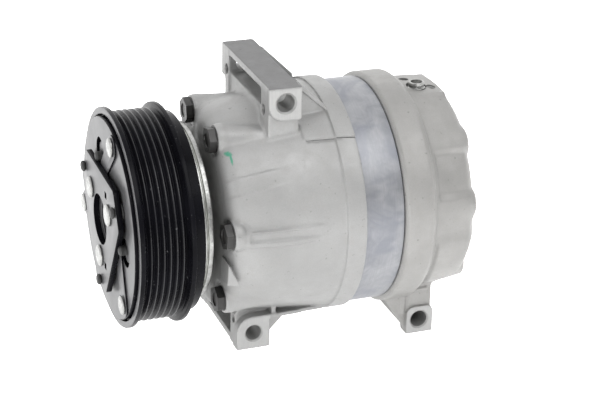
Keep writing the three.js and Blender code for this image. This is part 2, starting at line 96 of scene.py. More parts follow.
def rounded(pts, steps=5, closed=True):
    """[u, v, r] corners to a point list with arcs."""
    out, n = [], len(pts)
    for i, p in enumerate(pts):
        u, v = p[0], p[1]
        r = p[2] if len(p) > 2 else 0
        if not r or (not closed and i in (0, n - 1)):
            out.append((u, v))
            continue
        pu, pv = pts[(i - 1) % n][:2]
        nu, nv = pts[(i + 1) % n][:2]
        a, b = math.hypot(pu - u, pv - v), math.hypot(nu - u, nv - v)
        da, db = ((pu - u) / a, (pv - v) / a), ((nu - u) / b, (nv - v) / b)
        dot = max(-1, min(1, da[0] * db[0] + da[1] * db[1]))
        half = math.acos(dot) / 2
        if half > math.pi / 2 - 0.02 or half < 0.02:
            out.append((u, v))
            continue
        t = min(r / math.tan(half), 0.49 * a, 0.49 * b)
        r = t * math.tan(half)
        w = r / math.sin(half)
        mm = math.hypot(da[0] + db[0], da[1] + db[1])
        c = (u + (da[0] + db[0]) / mm * w, v + (da[1] + db[1]) / mm * w)
        p0 = (u + da[0] * t, v + da[1] * t)
        p1 = (u + db[0] * t, v + db[1] * t)
        a0 = math.atan2(p0[1] - c[1], p0[0] - c[0])
        a1 = math.atan2(p1[1] - c[1], p1[0] - c[0])
        if a1 - a0 > math.pi:
            a1 -= 2 * math.pi
        if a0 - a1 > math.pi:
            a1 += 2 * math.pi
        for k in range(steps + 1):
            q = a0 + (a1 - a0) * k / steps
            out.append((c[0] + r * math.cos(q), c[1] + r * math.sin(q)))
    return out


def lathe(profile, seg=None, y=0.0, z=0.0, steps=4, phase=0.0):
    """Revolves (x, r[, corner radius]) about a line along X. Open ends lie on the axis."""
    seg = seg or RING
    closed = profile[0][1] > 1e-6 or profile[-1][1] > 1e-6
    pts = rounded(profile, steps, closed)
    v, rings = [], []
    ang = [phase + 2 * math.pi * k / seg for k in range(seg)]
    cs, sn = [math.cos(a) for a in ang], [math.sin(a) for a in ang]
    for x, r in pts:
        if r < 1e-6:
            rings.append([len(v)])
            v.append((x, y, z))
        else:
            base = len(v)
            v += [(x, y + r * cs[k], z + r * sn[k]) for k in range(seg)]
            rings.append(list(range(base, base + seg)))
    f = []
    n = len(rings)
    for i in range(n if closed else n - 1):
        a, b = rings[i], rings[(i + 1) % n]
        if len(a) == 1 and len(b) == 1:
            continue
        for k in range(seg):
            k2 = (k + 1) % seg
            if len(a) == 1:
                f.append((a[0], b[k2], b[k]))
            elif len(b) == 1:
                f.append((a[k], a[k2], b[0]))
            else:
                f.append((a[k], a[k2], b[k2], b[k]))
    return outward(M(v, f))


def rod(x0, x1, r, y, z, seg=48):
    return lathe([(x0, 0), (x0, r), (x1, r), (x1, 0)], seg, y, z)


def swap(m, order, sign=(1, 1, 1)):
    """Turns a piece made along X to another axis."""
    m.v = m.v[:, order] * np.array(sign, float)
    return outward(m)


def lathe_y(profile, x, z, seg=64, steps=4):
    m = lathe(profile, seg, 0, 0, steps)
    m = swap(m, [2, 0, 1])
    m.v += (x, 0, z)
    return m


def lathe_z(profile, x, y, seg=64, steps=4):
    m = lathe(profile, seg, 0, 0, steps)
    m = swap(m, [1, 2, 0])
    m.v += (x, y, 0)
    return m


def prism(pts, lo, hi, axis, bevel=0.0, steps=3):
    """Polygon extruded along an axis, its end edges rounded by bevel. pts are the other two coordinates in order."""
    pts = np.asarray([(p[0], p[1]) for p in pts], float)
    n = len(pts)
    area = 0.5 * sum(pts[i][0] * pts[(i + 1) % n][1] - pts[(i + 1) % n][0] * pts[i][1] for i in range(n))
    if area < 0:
        pts = pts[::-1]
    e0 = pts - np.roll(pts, 1, 0)
    e1 = np.roll(pts, -1, 0) - pts
    n0 = np.stack([e0[:, 1], -e0[:, 0]], 1) / np.linalg.norm(e0, axis=1)[:, None]
    n1 = np.stack([e1[:, 1], -e1[:, 0]], 1) / np.linalg.norm(e1, axis=1)[:, None]
    s = n0 + n1
    s = s / np.maximum(1e-6, (s * s).sum(1))[:, None] * 2
    levels = []
    if bevel > 0:
        for k in range(steps + 1):
            q = math.pi / 2 * k / steps
            levels.append((lo + bevel * (1 - math.sin(q)), bevel * (1 - math.cos(q))))
        levels = [(h, o) for h, o in reversed(levels)]
        levels = [(lo + bevel * (1 - math.cos(q)), bevel * (1 - math.sin(q))) for q in [math.pi / 2 * k / steps for k in range(steps + 1)]]
        levels += [(hi - (h - lo), o) for h, o in reversed(levels)]
    else:
        levels = [(lo, 0.0), (hi, 0.0)]
    v = []
    for h, o in levels:
        for p, d in zip(pts, s):
            q = p - d * o
            c = [0, 0, 0]
            i, j = [k for k in range(3) if k != axis]
            c[i], c[j], c[axis] = q[0], q[1], h
            v.append(c)
    f = []
    for L in range(len(levels) - 1):
        a, b = L * n, (L + 1) * n
        for k in range(n):
            k2 = (k + 1) % n
            f.append((a + k, a + k2, b + k2, b + k))
    f.append(tuple(range(n))[::-1])
    f.append(tuple(range((len(levels) - 1) * n, len(levels) * n)))
    return outward(M(v, f))


def join(*ms):
    v, f, base = [], [], 0
    for m in ms:
        v.append(m.v)
        f += [tuple(i + base for i in q) for q in m.f]
        base += len(m.v)
    return M(np.concatenate(v), f)


def link(c0, r0, c1, r1, steps=16):
    dy, dz = c1[0] - c0[0], c1[1] - c0[1]
    d = math.hypot(dy, dz)
    base, off = math.atan2(dz, dy), math.acos((r0 - r1) / d)
    out = []
    for k in range(steps + 1):
        q = base + off + (2 * math.pi - 2 * off) * k / steps
        out.append((c0[0] + r0 * math.cos(q), c0[1] + r0 * math.sin(q)))
    for k in range(steps + 1):
        q = base - off + 2 * off * k / steps
        out.append((c1[0] + r1 * math.cos(q), c1[1] + r1 * math.sin(q)))
    return out


def to_mesh(name, m):
    mesh = bpy.data.meshes.new(name)
    v = (m.v - (LUG_X, 0, 0)) / 1000
    mesh.from_pydata([tuple(p) for p in v], [], m.f)
    mesh.update()
    return mesh


def temp(m, name="cut"):
    o = bpy.data.objects.new(name, to_mesh(name, m))
    bpy.context.scene.collection.objects.link(o)
    return o


def bake(o):
    dg = bpy.context.evaluated_depsgraph_get()
    dg.update()
    mesh = bpy.data.meshes.new_from_object(o.evaluated_get(dg))
    o.modifiers.clear()
    old = o.data
    o.data = mesh
    bpy.data.meshes.remove(old)


def boolean(o, cutters, op="DIFFERENCE"):
    """Cuts (or joins) pieces one after the other."""
    for m in cutters:
        c = temp(m)
        before = len(o.data.vertices)
        keep = o.data.copy()
        b = o.modifiers.new("b", "BOOLEAN")
        b.object, b.operation, b.solver = c, op, "MANIFOLD"
        bake(o)
        if len(o.data.vertices) == 0:
            print("boolean: exact solver for", o.name)
            o.data = keep
            b = o.modifiers.new("b", "BOOLEAN")
            b.object, b.operation, b.solver = c, op, "EXACT"
            bake(o)
        bpy.data.objects.remove(c)
    return o


def finish_mesh(o, sharp=32.0):
    mesh = o.data
    mesh.polygons.foreach_set("use_smooth", [True] * len(mesh.polygons))
    mesh.set_sharp_from_angle(angle=math.radians(sharp))
    mesh.update()


def show(name, m, body, material, replaces=(), sharp=32.0, cuts=(), adds=()):
    """Makes a finished piece that rides on a CAD body."""
    o = bpy.data.objects.new(name, to_mesh(name, m) if isinstance(m, M) else m)
    bpy.context.scene.collection.objects.link(o)
    if adds:
        boolean(o, adds, "UNION")
    if cuts:
        boolean(o, cuts)
    finish_mesh(o, sharp)
    o.data.materials.clear()
    for mt in (material if isinstance(material, (list, tuple)) else [material]):
        o.data.materials.append(mt)
    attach(o, body)
    if replaces:
        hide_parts(*replaces)
    return o


def by_face(o, rule):
    """Sets material indices from rule(centre mm in layout, normal) -> index array."""
    mesh = o.data
    n = len(mesh.polygons)
    c, nn = np.zeros(n * 3), np.zeros(n * 3)
    mesh.polygons.foreach_get("center", c)
    mesh.polygons.foreach_get("normal", nn)
    c = c.reshape(-1, 3) * 1000 + (LUG_X, 0, 0)
    idx = rule(c, nn.reshape(-1, 3)).astype(np.int32)
    mesh.polygons.foreach_set("material_index", idx)
    mesh.update()


# ------------------------------------------------------- distance-field shapes
F = np.float32


def poly2(u, v, pts):
    d = inside = None
    n = len(pts)
    for i in range(n):
        ax, ay = pts[i - 1]
        bx, by = pts[i]
        ex, ey = bx - ax, by - ay
        ll = ex * ex + ey * ey
        if ll < 1e-12:
            continue
        wx, wy = u - ax, v - ay
        t = np.clip((wx * ex + wy * ey) / ll, 0, 1)
        q = (wx - ex * t) ** 2 + (wy - ey * t) ** 2
        d = q if d is None else np.minimum(d, q)
        if abs(ey) > 1e-9:
            c = ((v >= ay) != (v >= by)) & (u < ax + (v - ay) * (ex / ey))
            inside = c if inside is None else inside ^ c
    return (np.where(inside, -1, 1) * np.sqrt(d)).astype(F)


def f_lathe(profile, y0=0.0, z0=0.0, steps=4, off=None):
    closed = profile[0][1] > 1e-6 or profile[-1][1] > 1e-6
    pts = rounded(profile, steps, closed)
    pts = [(x, r if r > 1e-6 else -90.0) for x, r in pts]
    xs = [p[0] for p in pts]
    rm = max(p[1] for p in pts)
    bx = ((min(xs), max(xs)), (y0 - rm - 2, y0 + rm + 2), (z0 - rm - 2, z0 + rm + 2))

    def f(x, y, z):
        r = np.sqrt((y - y0) ** 2 + (z - z0) ** 2)
        step = 0.2
        rg = np.arange(-3, float(r.max()) + 1, step)
        tab = poly2(x.ravel()[:, None], rg[None, :], pts)
        if off is None:
            q = (r.ravel() + 3) / step
            i = np.minimum(q.astype(int), len(rg) - 2)
            fr = (q - i).astype(F)
            out = tab[:, i] * (1 - fr) + tab[:, i + 1] * fr
            return out.reshape(x.shape[0], y.shape[1], z.shape[2])
        rr = r - off(x, y, z)
        q = ((np.broadcast_to(rr, (x.shape[0], y.shape[1], z.shape[2])) + 3) / step).reshape(x.shape[0], -1)
        q = np.clip(q, 0, len(rg) - 1.001)
        i = q.astype(int)
        fr = (q - i).astype(F)
        out = np.take_along_axis(tab, i, 1) * (1 - fr) + np.take_along_axis(tab, i + 1, 1) * fr
        return out.reshape(x.shape[0], y.shape[1], z.shape[2])
    return f, bx


def f_prism(pts, lo, hi, axis, rr=0.0):
    pts = [(p[0], p[1]) for p in pts]
    us, vs = [p[0] for p in pts], [p[1] for p in pts]
    bx = [None] * 3
    i, j = [k for k in range(3) if k != axis]
    bx[axis], bx[i], bx[j] = (lo, hi), (min(us), max(us)), (min(vs), max(vs))

    def f(x, y, z):
        c = (x, y, z)
        d2 = poly2(c[i], c[j], pts) + F(rr)
        w = np.abs(c[axis] - (lo + hi) / 2) - ((hi - lo) / 2 - rr)
        return (np.minimum(np.maximum(d2, w), 0) + np.sqrt(np.maximum(d2, 0) ** 2 + np.maximum(w, 0) ** 2) - rr).astype(F)
    return f, tuple(bx)


def f_box(x0, x1, y0, y1, z0, z1, rr=0.6):
    def f(x, y, z):
        a = np.abs(x - (x0 + x1) / 2) - ((x1 - x0) / 2 - rr)
        b = np.abs(y - (y0 + y1) / 2) - ((y1 - y0) / 2 - rr)
        c = np.abs(z - (z0 + z1) / 2) - ((z1 - z0) / 2 - rr)
        o = np.sqrt(np.maximum(a, 0) ** 2 + np.maximum(b, 0) ** 2 + np.maximum(c, 0) ** 2)
        return (o + np.minimum(np.maximum(a, np.maximum(b, c)), 0) - rr).astype(F)
    return f, ((x0, x1), (y0, y1), (z0, z1))


def f_cone(p0, p1, r0, r1):
    """Round-ended tapered rod."""
    p0, p1 = np.array(p0, float), np.array(p1, float)
    e = p1 - p0
    ll = float(e @ e)
    m = max(r0, r1)
    bx = tuple((min(p0[k], p1[k]) - m, max(p0[k], p1[k]) + m) for k in range(3))

    def f(x, y, z):
        t = np.clip(((x - p0[0]) * e[0] + (y - p0[1]) * e[1] + (z - p0[2]) * e[2]) / ll, 0, 1)
        d = np.sqrt((x - p0[0] - e[0] * t) ** 2 + (y - p0[1] - e[1] * t) ** 2 + (z - p0[2] - e[2] * t) ** 2)
        return (d - (r0 + (r1 - r0) * t)).astype(F)
    return f, bx


class Field:
    def __init__(self, lo, hi, h):
        self.h = h
        self.lo = np.array(lo, float)
        n = np.ceil((np.array(hi) - self.lo) / h).astype(int) + 1
        self.ax = [(self.lo[i] + h * np.arange(n[i])).astype(F) for i in range(3)]
        self.d = np.full(tuple(n), 40, F)

    def block(self, bx, pad):
        sl = []
        for i in range(3):
            a = self.ax[i]
            i0 = max(int(np.searchsorted(a, bx[i][0] - pad)) - 1, 0)
            i1 = min(int(np.searchsorted(a, bx[i][1] + pad)) + 1, len(a))
            sl.append(slice(i0, i1))
        return tuple(sl), self.ax[0][sl[0]][:, None, None], self.ax[1][sl[1]][None, :, None], self.ax[2][sl[2]][None, None, :]

    def add(self, shape, r=0.0):
        fn, bx = shape
        sl, x, y, z = self.block(bx, r + 3 * self.h)
        a, b = self.d[sl], fn(x, y, z)
        if r:
            u, v = np.maximum(r - a, 0), np.maximum(r - b, 0)
            self.d[sl] = np.maximum(r, np.minimum(a, b)) - np.sqrt(u * u + v * v)
        else:
            self.d[sl] = np.minimum(a, b)
        return self

    def cut(self, shape, r=0.0):
        fn, bx = shape
        sl, x, y, z = self.block(bx, r + 3 * self.h)
        a, b = self.d[sl], -fn(x, y, z)
        if r:
            u, v = np.maximum(r + a, 0), np.maximum(r + b, 0)
            self.d[sl] = np.minimum(-r, np.maximum(a, b)) + np.sqrt(u * u + v * v)
        else:
            self.d[sl] = np.maximum(a, b)
        return self

    def mesh(self, name):
        g = openvdb.FloatGrid(3.0)
        g.copyFromArray(np.clip(self.d / self.h, -3, 3).astype(F))
        p, q = g.convertToQuads(0.0)
        p, q = np.asarray(p, float), np.asarray(q)
        # slide the vertices onto the exact surface
        d = self.d
        top = np.array(d.shape) - 1.001
        for _ in range(2):
            p = np.clip(p, 1, top - 1)
            i = p.astype(int)
            t = p - i
            g3 = np.zeros_like(p)
            c = {}
            for a in (0, 1):
                for b in (0, 1):
                    for e in (0, 1):
                        c[a, b, e] = d[i[:, 0] + a, i[:, 1] + b, i[:, 2] + e]
            x, y, z = t[:, 0], t[:, 1], t[:, 2]
            val = sum(c[a, b, e] * (x if a else 1 - x) * (y if b else 1 - y) * (z if e else 1 - z) for a, b, e in c)
            g3[:, 0] = sum((1 if a else -1) * c[a, b, e] * (y if b else 1 - y) * (z if e else 1 - z) for a, b, e in c)
            g3[:, 1] = sum((1 if b else -1) * c[a, b, e] * (x if a else 1 - x) * (z if e else 1 - z) for a, b, e in c)
            g3[:, 2] = sum((1 if e else -1) * c[a, b, e] * (x if a else 1 - x) * (y if b else 1 - y) for a, b, e in c)
            gg = np.maximum((g3 * g3).sum(1), 1e-3)
            s = (val / gg)[:, None] * g3
            ln = np.linalg.norm(s, axis=1, keepdims=True)
            p -= s * np.minimum(1, 0.4 / np.maximum(ln, 1e-9))
        w = (self.lo + p * self.h - (LUG_X, 0, 0)) / 1000
        mesh = bpy.data.meshes.new(name)
        mesh.vertices.add(len(w))
        mesh.vertices.foreach_set("co", w.astype(F).ravel())
        a = w[q[:, 0]]
        vol = float((np.cross(w[q[:, 1]] - a, w[q[:, 2]] - a) * (a + w[q[:, 1]] + w[q[:, 2]])).sum())
        if vol < 0:
            q = q[:, ::-1]
        mesh.loops.add(q.size)
        mesh.loops.foreach_set("vertex_index", q.astype(np.int32).ravel())
        mesh.polygons.add(len(q))
        mesh.polygons.foreach_set("loop_start", np.arange(0, q.size, 4, dtype=np.int32))
        mesh.polygons.foreach_set("loop_total", np.full(len(q), 4, np.int32))
        mesh.update(calc_edges=True)
        mesh.validate()
        return mesh


def thin(o, limit=185000):
    o.data.calc_loop_triangles()
    n = len(o.data.loop_triangles)
    if n > limit:
        d = o.modifiers.new("thin", "DECIMATE")
        d.ratio = limit / n
        bake(o)


# ------------------------------------------------------------------- materials
def hold_inside(o):
    """Keeps a casting's skin a few hundredths inside the frame's overall box."""
    n = len(o.data.vertices)
    v = np.zeros(n * 3, np.float32)
    o.data.vertices.foreach_get("co", v)
    v = v.reshape(-1, 3)
    lo_, hi_ = [np.array(c, np.float32) for c in cad_box]
    v = np.clip(v, lo_ + 0.00004, hi_ - 0.00004)
    o.data.vertices.foreach_set("co", v.ravel())
    o.data.update()


class Mat:
    def __init__(self, name):
        self.m = bpy.data.materials.new(name)
        self.m.use_nodes = True
        self.t = self.m.node_tree
        self.t.nodes.clear()
        self.out = self.n("ShaderNodeOutputMaterial")
        self.b = self.n("ShaderNodeBsdfPrincipled")
        self.t.links.new(self.b.outputs[0], self.out.inputs[0])
        self.co = self.n("ShaderNodeTexCoord").outputs["Object"]

    def n(self, kind, **kw):
        node = self.t.nodes.new(kind)
        for k, v in kw.items():
            setattr(node, k, v)
        return node

    def to(self, socket, value):
        if isinstance(value, bpy.types.NodeSocket):
            self.t.links.new(value, socket)
        else:
            socket.default_value = value

    def math(self, op, a, b=0.0, c=0.0, clamp=False):
        n = self.n("ShaderNodeMath", operation=op, use_clamp=clamp)
        for s, v in zip(n.inputs, (a, b, c)):
            self.to(s, v)
        return n.outputs[0]

    def vec(self, op, a, b=(0, 0, 0)):
        n = self.n("ShaderNodeVectorMath", operation=op)
        self.to(n.inputs[0], a)
        self.to(n.inputs[1], b)
        return n.outputs["Value" if op in ("LENGTH", "DOT_PRODUCT", "DISTANCE") else 0]

    def noise(self, scale, detail=3.0, rough=0.55, at=None, stretch=None, distort=0.0):
        at = at or self.co
        if stretch:
            at = self.vec("MULTIPLY", at, stretch)
        n = self.n("ShaderNodeTexNoise")
        self.to(n.inputs["Vector"], at)
        n.inputs["Scale"].default_value = scale
        n.inputs["Detail"].default_value = detail
        n.inputs["Roughness"].default_value = rough
        n.inputs["Distortion"].default_value = distort
        return n.outputs[0]

    def ramp(self, value, stops):
        n = self.n("ShaderNodeValToRGB")
        self.to(n.inputs[0], value)
        e = n.color_ramp.elements
        while len(e) < len(stops):
            e.new(0.5)
        for el, (p, c) in zip(e, stops):
            el.position = p
            el.color = (*c, 1) if len(c) == 3 else c
        return n.outputs[0]

    def range(self, value, a, b, lo, hi):
        n = self.n("ShaderNodeMapRange")
        for s, v in zip(n.inputs, (value, a, b, lo, hi)):
            self.to(s, v)
        return n.outputs[0]

    def mix(self, fac, a, b, kind="MIX"):
        n = self.n("ShaderNodeMix", data_type="RGBA", blend_type=kind)
        self.to(n.inputs[0], fac)
        for s, v in ((n.inputs[6], a), (n.inputs[7], b)):
            self.to(s, (*v, 1) if isinstance(v, tuple) and len(v) == 3 else v)
        return n.outputs[2]

    def bump(self, height, dist, strength=1.0, after=None):
        n = self.n("ShaderNodeBump")
        n.inputs["Strength"].default_value = strength
        n.inputs["Distance"].default_value = dist
        self.to(n.inputs["Height"], height)
        if after:
            self.to(n.inputs["Normal"], after)
        return n.outputs[0]

    def put(self, **kw):
        for k, v in kw.items():
            s = self.b.inputs[k.replace("_", " ")]
            if isinstance(v, tuple) and len(v) == 3:
                v = (*v, 1)
            self.to(s, v)
        return self.m


def cast_material(name, light, dark, spot, metal=0.35, green=False, rough=(0.44, 0.62)):
    k = Mat(name)
    broad = k.noise(38, 4, 0.6)
    blot = k.noise(160, 5, 0.6, distort=0.4)
    fine = k.noise(1500, 3, 0.6)
    col = k.ramp(broad, [(0.32, dark), (0.68, light)])
    col = k.mix(k.range(blot, 0.42, 0.7, 0.0, 0.5), col, spot)
    col = k.mix(k.range(fine, 0.35, 0.75, 0.0, 0.18), col, tuple(c * 0.62 for c in dark))
    # a few short handling scuffs and darker stain specks
    specks = k.noise(420, 2, 0.5)
    col = k.mix(k.range(specks, 0.69, 0.76, 0.0, 0.55), col, tuple(c * 0.5 for c in dark))
    if green:
        p = k.vec("SUBTRACT", k.co, ((-28.7 - LUG_X) / 1000, -0.0376, 0.0453))
        p = k.vec("MULTIPLY", p, (400, 270, 760))
        a = k.vec("LENGTH", p)
        q = k.vec("SUBTRACT", k.co, ((-27.0 - LUG_X) / 1000, -0.0396, 0.0441))
        q = k.vec("MULTIPLY", q, (1650, 270, 270))
        both = k.math("MINIMUM", a, k.vec("LENGTH", q))
        both = k.math("ADD", both, k.math("MULTIPLY", k.math("SUBTRACT", k.noise(900, 2), 0.5), 0.6))
        col = k.mix(k.range(both, 1.25, 0.75, 0.0, 0.85), col, (0.03, 0.24, 0.15))
    r = k.range(blot, 0.3, 0.7, rough[0], rough[1])
    h = k.bump(fine, 0.00007, 0.55)
    h = k.bump(k.noise(3200, 2, 0.5), 0.00003, 0.4, h)
    h = k.bump(k.noise(110, 3), 0.00035, 0.25, h)
    return k.put(Base_Color=col, Roughness=r, Metallic=metal, Normal=h)


def machined_material(name, c1, c2, metal=0.75, rough=(0.28, 0.42), lines=(1, 0, 0), scale=2600, blue=None, bump=0.00002):
    """Turned or milled metal; lines is the direction across the tool marks."""
    k = Mat(name)
    stretch = tuple(1.0 if c else 0.02 for c in lines)
    marks = k.noise(scale, 3, 0.6, stretch=stretch)
    blot = k.noise(90, 5, 0.62, distort=0.7)
    col = k.ramp(blot, [(0.3, c1), (0.7, c2)])
    if blue:
        col = k.mix(k.range(k.noise(45, 3, 0.6, distort=1.2), 0.45, 0.65, 0.0, 0.7), col, blue)
    col = k.mix(k.range(marks, 0.3, 0.7, 0.0, 0.22), col, tuple(c * 0.7 for c in c1))
    r = k.math("ADD", k.range(blot, 0.3, 0.7, rough[0], rough[1]), k.math("MULTIPLY", k.math("SUBTRACT", marks, 0.5), 0.15))
    return k.put(Base_Color=col, Roughness=r, Metallic=metal, Normal=k.bump(marks, bump, 0.6))


def paint_material(name, base, tint, rough=(0.16, 0.3), coat=0.6, grain=1400, bump=0.00003, metal=0.0, spec=0.5):
    k = Mat(name)
    a = k.noise(60, 4, 0.6)
    b = k.noise(grain, 2, 0.5)
    col = k.ramp(a, [(0.3, base), (0.75, tint)])
    col = k.mix(k.range(k.noise(500, 2, 0.5), 0.7, 0.78, 0.0, 0.35), col, (0.16, 0.16, 0.165))
    k.b.inputs["Coat Weight"].default_value = coat
    k.b.inputs["Coat Roughness"].default_value = 0.12
    k.b.inputs["Specular IOR Level"].default_value = spec
    return k.put(Base_Color=col, Roughness=k.range(a, 0.3, 0.7, rough[0], rough[1]), Metallic=metal, Normal=k.bump(b, bump, 0.5))


def plain_metal(name, c1, c2, rough=(0.2, 0.38), metal=0.9, scale=700, bump=0.00004):
    k = Mat(name)
    a = k.noise(scale * 0.35, 4, 0.6)
    b = k.noise(scale, 3, 0.6)
    col = k.ramp(a, [(0.3, c1), (0.7, c2)])
    return k.put(Base_Color=col, Roughness=k.range(b, 0.3, 0.7, rough[0], rough[1]), Metallic=metal, Normal=k.bump(b, bump, 0.6))


CAST = cast_material("cast_aluminium", (0.30, 0.30, 0.297), (0.25, 0.25, 0.247), (0.29, 0.287, 0.28), green=True)
CAST_REAR = cast_material("cast_aluminium_warm", (0.285, 0.281, 0.273), (0.238, 0.235, 0.228), (0.27, 0.266, 0.257))
# darker copy of the cast for hollows, the wobble plate and the shoulder face behind the coil: painted shade
CAST_IN_PAINTED_SHADE = cast_material("cast_aluminium_inside_painted_shade", (0.28, 0.28, 0.275), (0.19, 0.19, 0.185), (0.23, 0.23, 0.225))
# darker, rougher copy of the cast for the upward faces of the upper lug bar: painted shade on the top
CAST_TOP_PAINTED_SHADE = cast_material("cast_aluminium_top_painted_shade", (0.145, 0.145, 0.146), (0.122, 0.122, 0.123), (0.136, 0.135, 0.134), metal=0.2, rough=(0.55, 0.7))
MILLED = machined_material("milled_aluminium", (0.29, 0.29, 0.287), (0.345, 0.345, 0.34), metal=0.35, lines=(1, 0, 0), scale=1800, rough=(0.36, 0.5))
BORED = machined_material("bored_aluminium", (0.24, 0.24, 0.235), (0.34, 0.34, 0.335), metal=0.5, lines=(0, 1, 0), scale=1500, bump=0.00005, rough=(0.5, 0.65))
BAND = machined_material("turned_aluminium", (0.195, 0.2, 0.215), (0.30, 0.305, 0.318), metal=0.5, lines=(1, 0, 0), scale=3000, blue=(0.165, 0.173, 0.20), rough=(0.38, 0.5))
STEEL = machined_material("ground_steel", (0.34, 0.345, 0.35), (0.5, 0.5, 0.5), metal=0.95, lines=(1, 0, 0), scale=2200)
ZINC = plain_metal("zinc_plate", (0.22, 0.222, 0.215), (0.40, 0.402, 0.392), rough=(0.24, 0.5), scale=900, bump=0.00008)
# darker, rougher zinc for the groove in the coil ring: painted shade in the groove
ZINC_GROOVE_PAINTED_SHADE = plain_metal("zinc_plate_groove_painted_shade", (0.2, 0.205, 0.19), (0.4, 0.405, 0.38), rough=(0.3, 0.6), scale=600, bump=0.00012)
BLACK = paint_material("gloss_black_coating", (0.003, 0.003, 0.004), (0.006, 0.006, 0.008), rough=(0.2, 0.32), coat=0.0, spec=0.05)
# lighter black for the pulley's rib crests: a painted highlight along each crest
CREST_PAINTED_HIGHLIGHT = paint_material("gloss_black_crest_painted_highlight", (0.008, 0.008, 0.009), (0.016, 0.016, 0.019), rough=(0.24, 0.36), coat=0.0, spec=0.3)
FACE = paint_material("clutch_face_coating", (0.07, 0.07, 0.072), (0.095, 0.095, 0.098), rough=(0.28, 0.38), coat=0.0, grain=1800, bump=0.000012, metal=0.05, spec=0.2)
BOLT = paint_material("black_phosphate", (0.009, 0.0088, 0.0085), (0.026, 0.025, 0.024), rough=(0.3, 0.5), coat=0.0, grain=2200, bump=0.00006, metal=0.2)
RUBBER = paint_material("rubber", (0.012, 0.012, 0.012), (0.022, 0.022, 0.022), rough=(0.5, 0.7), coat=0.0, grain=1800, bump=0.00008)
PLASTIC = paint_material("moulded_plastic", (0.018, 0.018, 0.02), (0.03, 0.03, 0.032), rough=(0.38, 0.52), coat=0.0, grain=2600, bump=0.00006)
GASKET = paint_material("coated_sheet", (0.05, 0.05, 0.055), (0.09, 0.09, 0.095), rough=(0.5, 0.65), coat=0.0)
COPPER = plain_metal("enamelled_copper", (0.42, 0.16, 0.07), (0.66, 0.32, 0.16), rough=(0.22, 0.36), scale=900)
BRASS = plain_metal("turned_brass", (0.52, 0.38, 0.16), (0.72, 0.56, 0.28), rough=(0.22, 0.36), scale=900)

# ------------------------------------------------------------------ front head
HEAD_REAR = 42.0


def smooth(t):
    t = np.clip(t, 0, 1)
    return t * t * (3 - 2 * t)


def head_offset(x, y, z):
    """Ledges, strips and the raised pad on the outside of the front casing, mm proud."""
    a = np.degrees(np.arctan2(z, -y))
    # two ledges below the second bolt boss, each with its edge turned up, fading out towards the lug
    fade = smooth((4 - x) / 16) * smooth((x + 37) / 5)
    up = smooth((36.9 + (x + 30) * 0.085 - a) / 0.55) * smooth((a - 24) / 14)
    lo = smooth((27.6 + (x + 30) * 0.13 - a) / 0.55) * smooth((a - 12) / 14)
    out = fade * (0.75 * up + 0.7 * lo)
    # long wedge behind the third bolt boss with a sunk panel along it
    foot = np.where(x < 5, -0.2, -0.2 + (x - 5) * 0.13)
    w = smooth((a - foot) / 0.6) * smooth((9.4 - a) / 1.6) * smooth((25 - x) / 34) * smooth((x + 33) / 4)
    s = smooth((a - 2.7) / 0.5) * smooth((7.6 - a) / 0.5) * smooth((x + 23.2) / 0.8) * smooth((20 - x) / 26)
    out = out + 2.1 * w - 1.3 * s
    # raised pad carried over the top behind the upper lug
    p = smooth((a - (51.2 - (x - 13.4) * 0.08)) / 0.35) * smooth((129 - a) / 0.6) * smooth((x - 13.2 - smooth((52.6 - a) / 1.4) * 1.3) / 0.6)
    edge = 51.2 - (x - 13.4) * 0.08
    g = smooth((a - (edge - 1.25)) / 0.3) * smooth((edge - 0.1 - a) / 0.3) * smooth((x - 14.5) / 1.0) * smooth((35 - x) / 2)
    return (out + 0.9 * p - 0.5 * g).astype(F)


H = Field((-79, -66.5, -75.5), (43.5, 66.5, 81), VOX)
H.add(f_lathe([(-77.5, 0), (-77.5, 15.0), (-76.5, 17.2), (-53.2, 17.2, 1.5), (-53.2, 21.0), (-39.4, 25, 2), (-39.4, 28, 1.5), (-34, 29, 2),
               (-32.4, 57.4, 9.5), (-12, 60.6), (30.5, 64.7), (30.9, 66.0, 0.3), (HEAD_REAR, 66.0, 0.5), (HEAD_REAR, 0)], off=head_offset, steps=8))
for d in BOLT_ANGLES:
    y, z = polar(BOLT_R, d)
    if d == 64.5:
        H.add(f_cone((-27, y, z), (-5, *polar(57.6, 60.6)), 8.3, 5.0), 1.2)
    elif d == 5.9:
        H.add(f_cone((-29, y, z), (-27, y, z), 7.6, 7.0), 1.5)
    else:
        H.add(f_cone((-27, y, z), (-6, *polar(BOLT_R - 0.3, d)), 8.3, 7.0), 2.4)
    H.add(f_lathe([(-33, 0), (-33, 8.3), (-27.5, 8.3), (-26, 7.4), (-26, 0)], y, z), 1.0)
# smooth lobes between the bolts
H.add(f_cone((-20, *polar(45.5, 87)), (-4, *polar(47, 87)), 12.2, 16.6), 5.0)
H.add(f_cone((-22, *polar(47, 75)), (-6, *polar(48, 76)), 9.5, 13.5), 4.0)
H.add(f_cone((-22, *polar(46, 146)), (-6, *polar(48, 146)), 10.0, 12.5), 4.0)
# small triangular stop below the third bolt
H.add(f_prism([(-34.0, -9.6), (-27.4, -23.4), (-34.8, -22.6)], -57.0, -44, 1, 0.5), 0.8)

post = [(-5.2, 42), (12.2, 42), (12.6, 79), (-5.0, 79)]
H.add(f_prism(post, -35.0, -22, 1, 0.5), 1.3)
H.add(f_prism(post, 33.5, 41, 1, 0.5), 1.3)
H.add(f_box(-4.2, 12.4, -30, 38, 46, 65.0, 0.8), 3.0)
H.add(f_box(-5.0, 13.2, -35.4, 45, 75.2, 79.35, 0.6), 1.0)
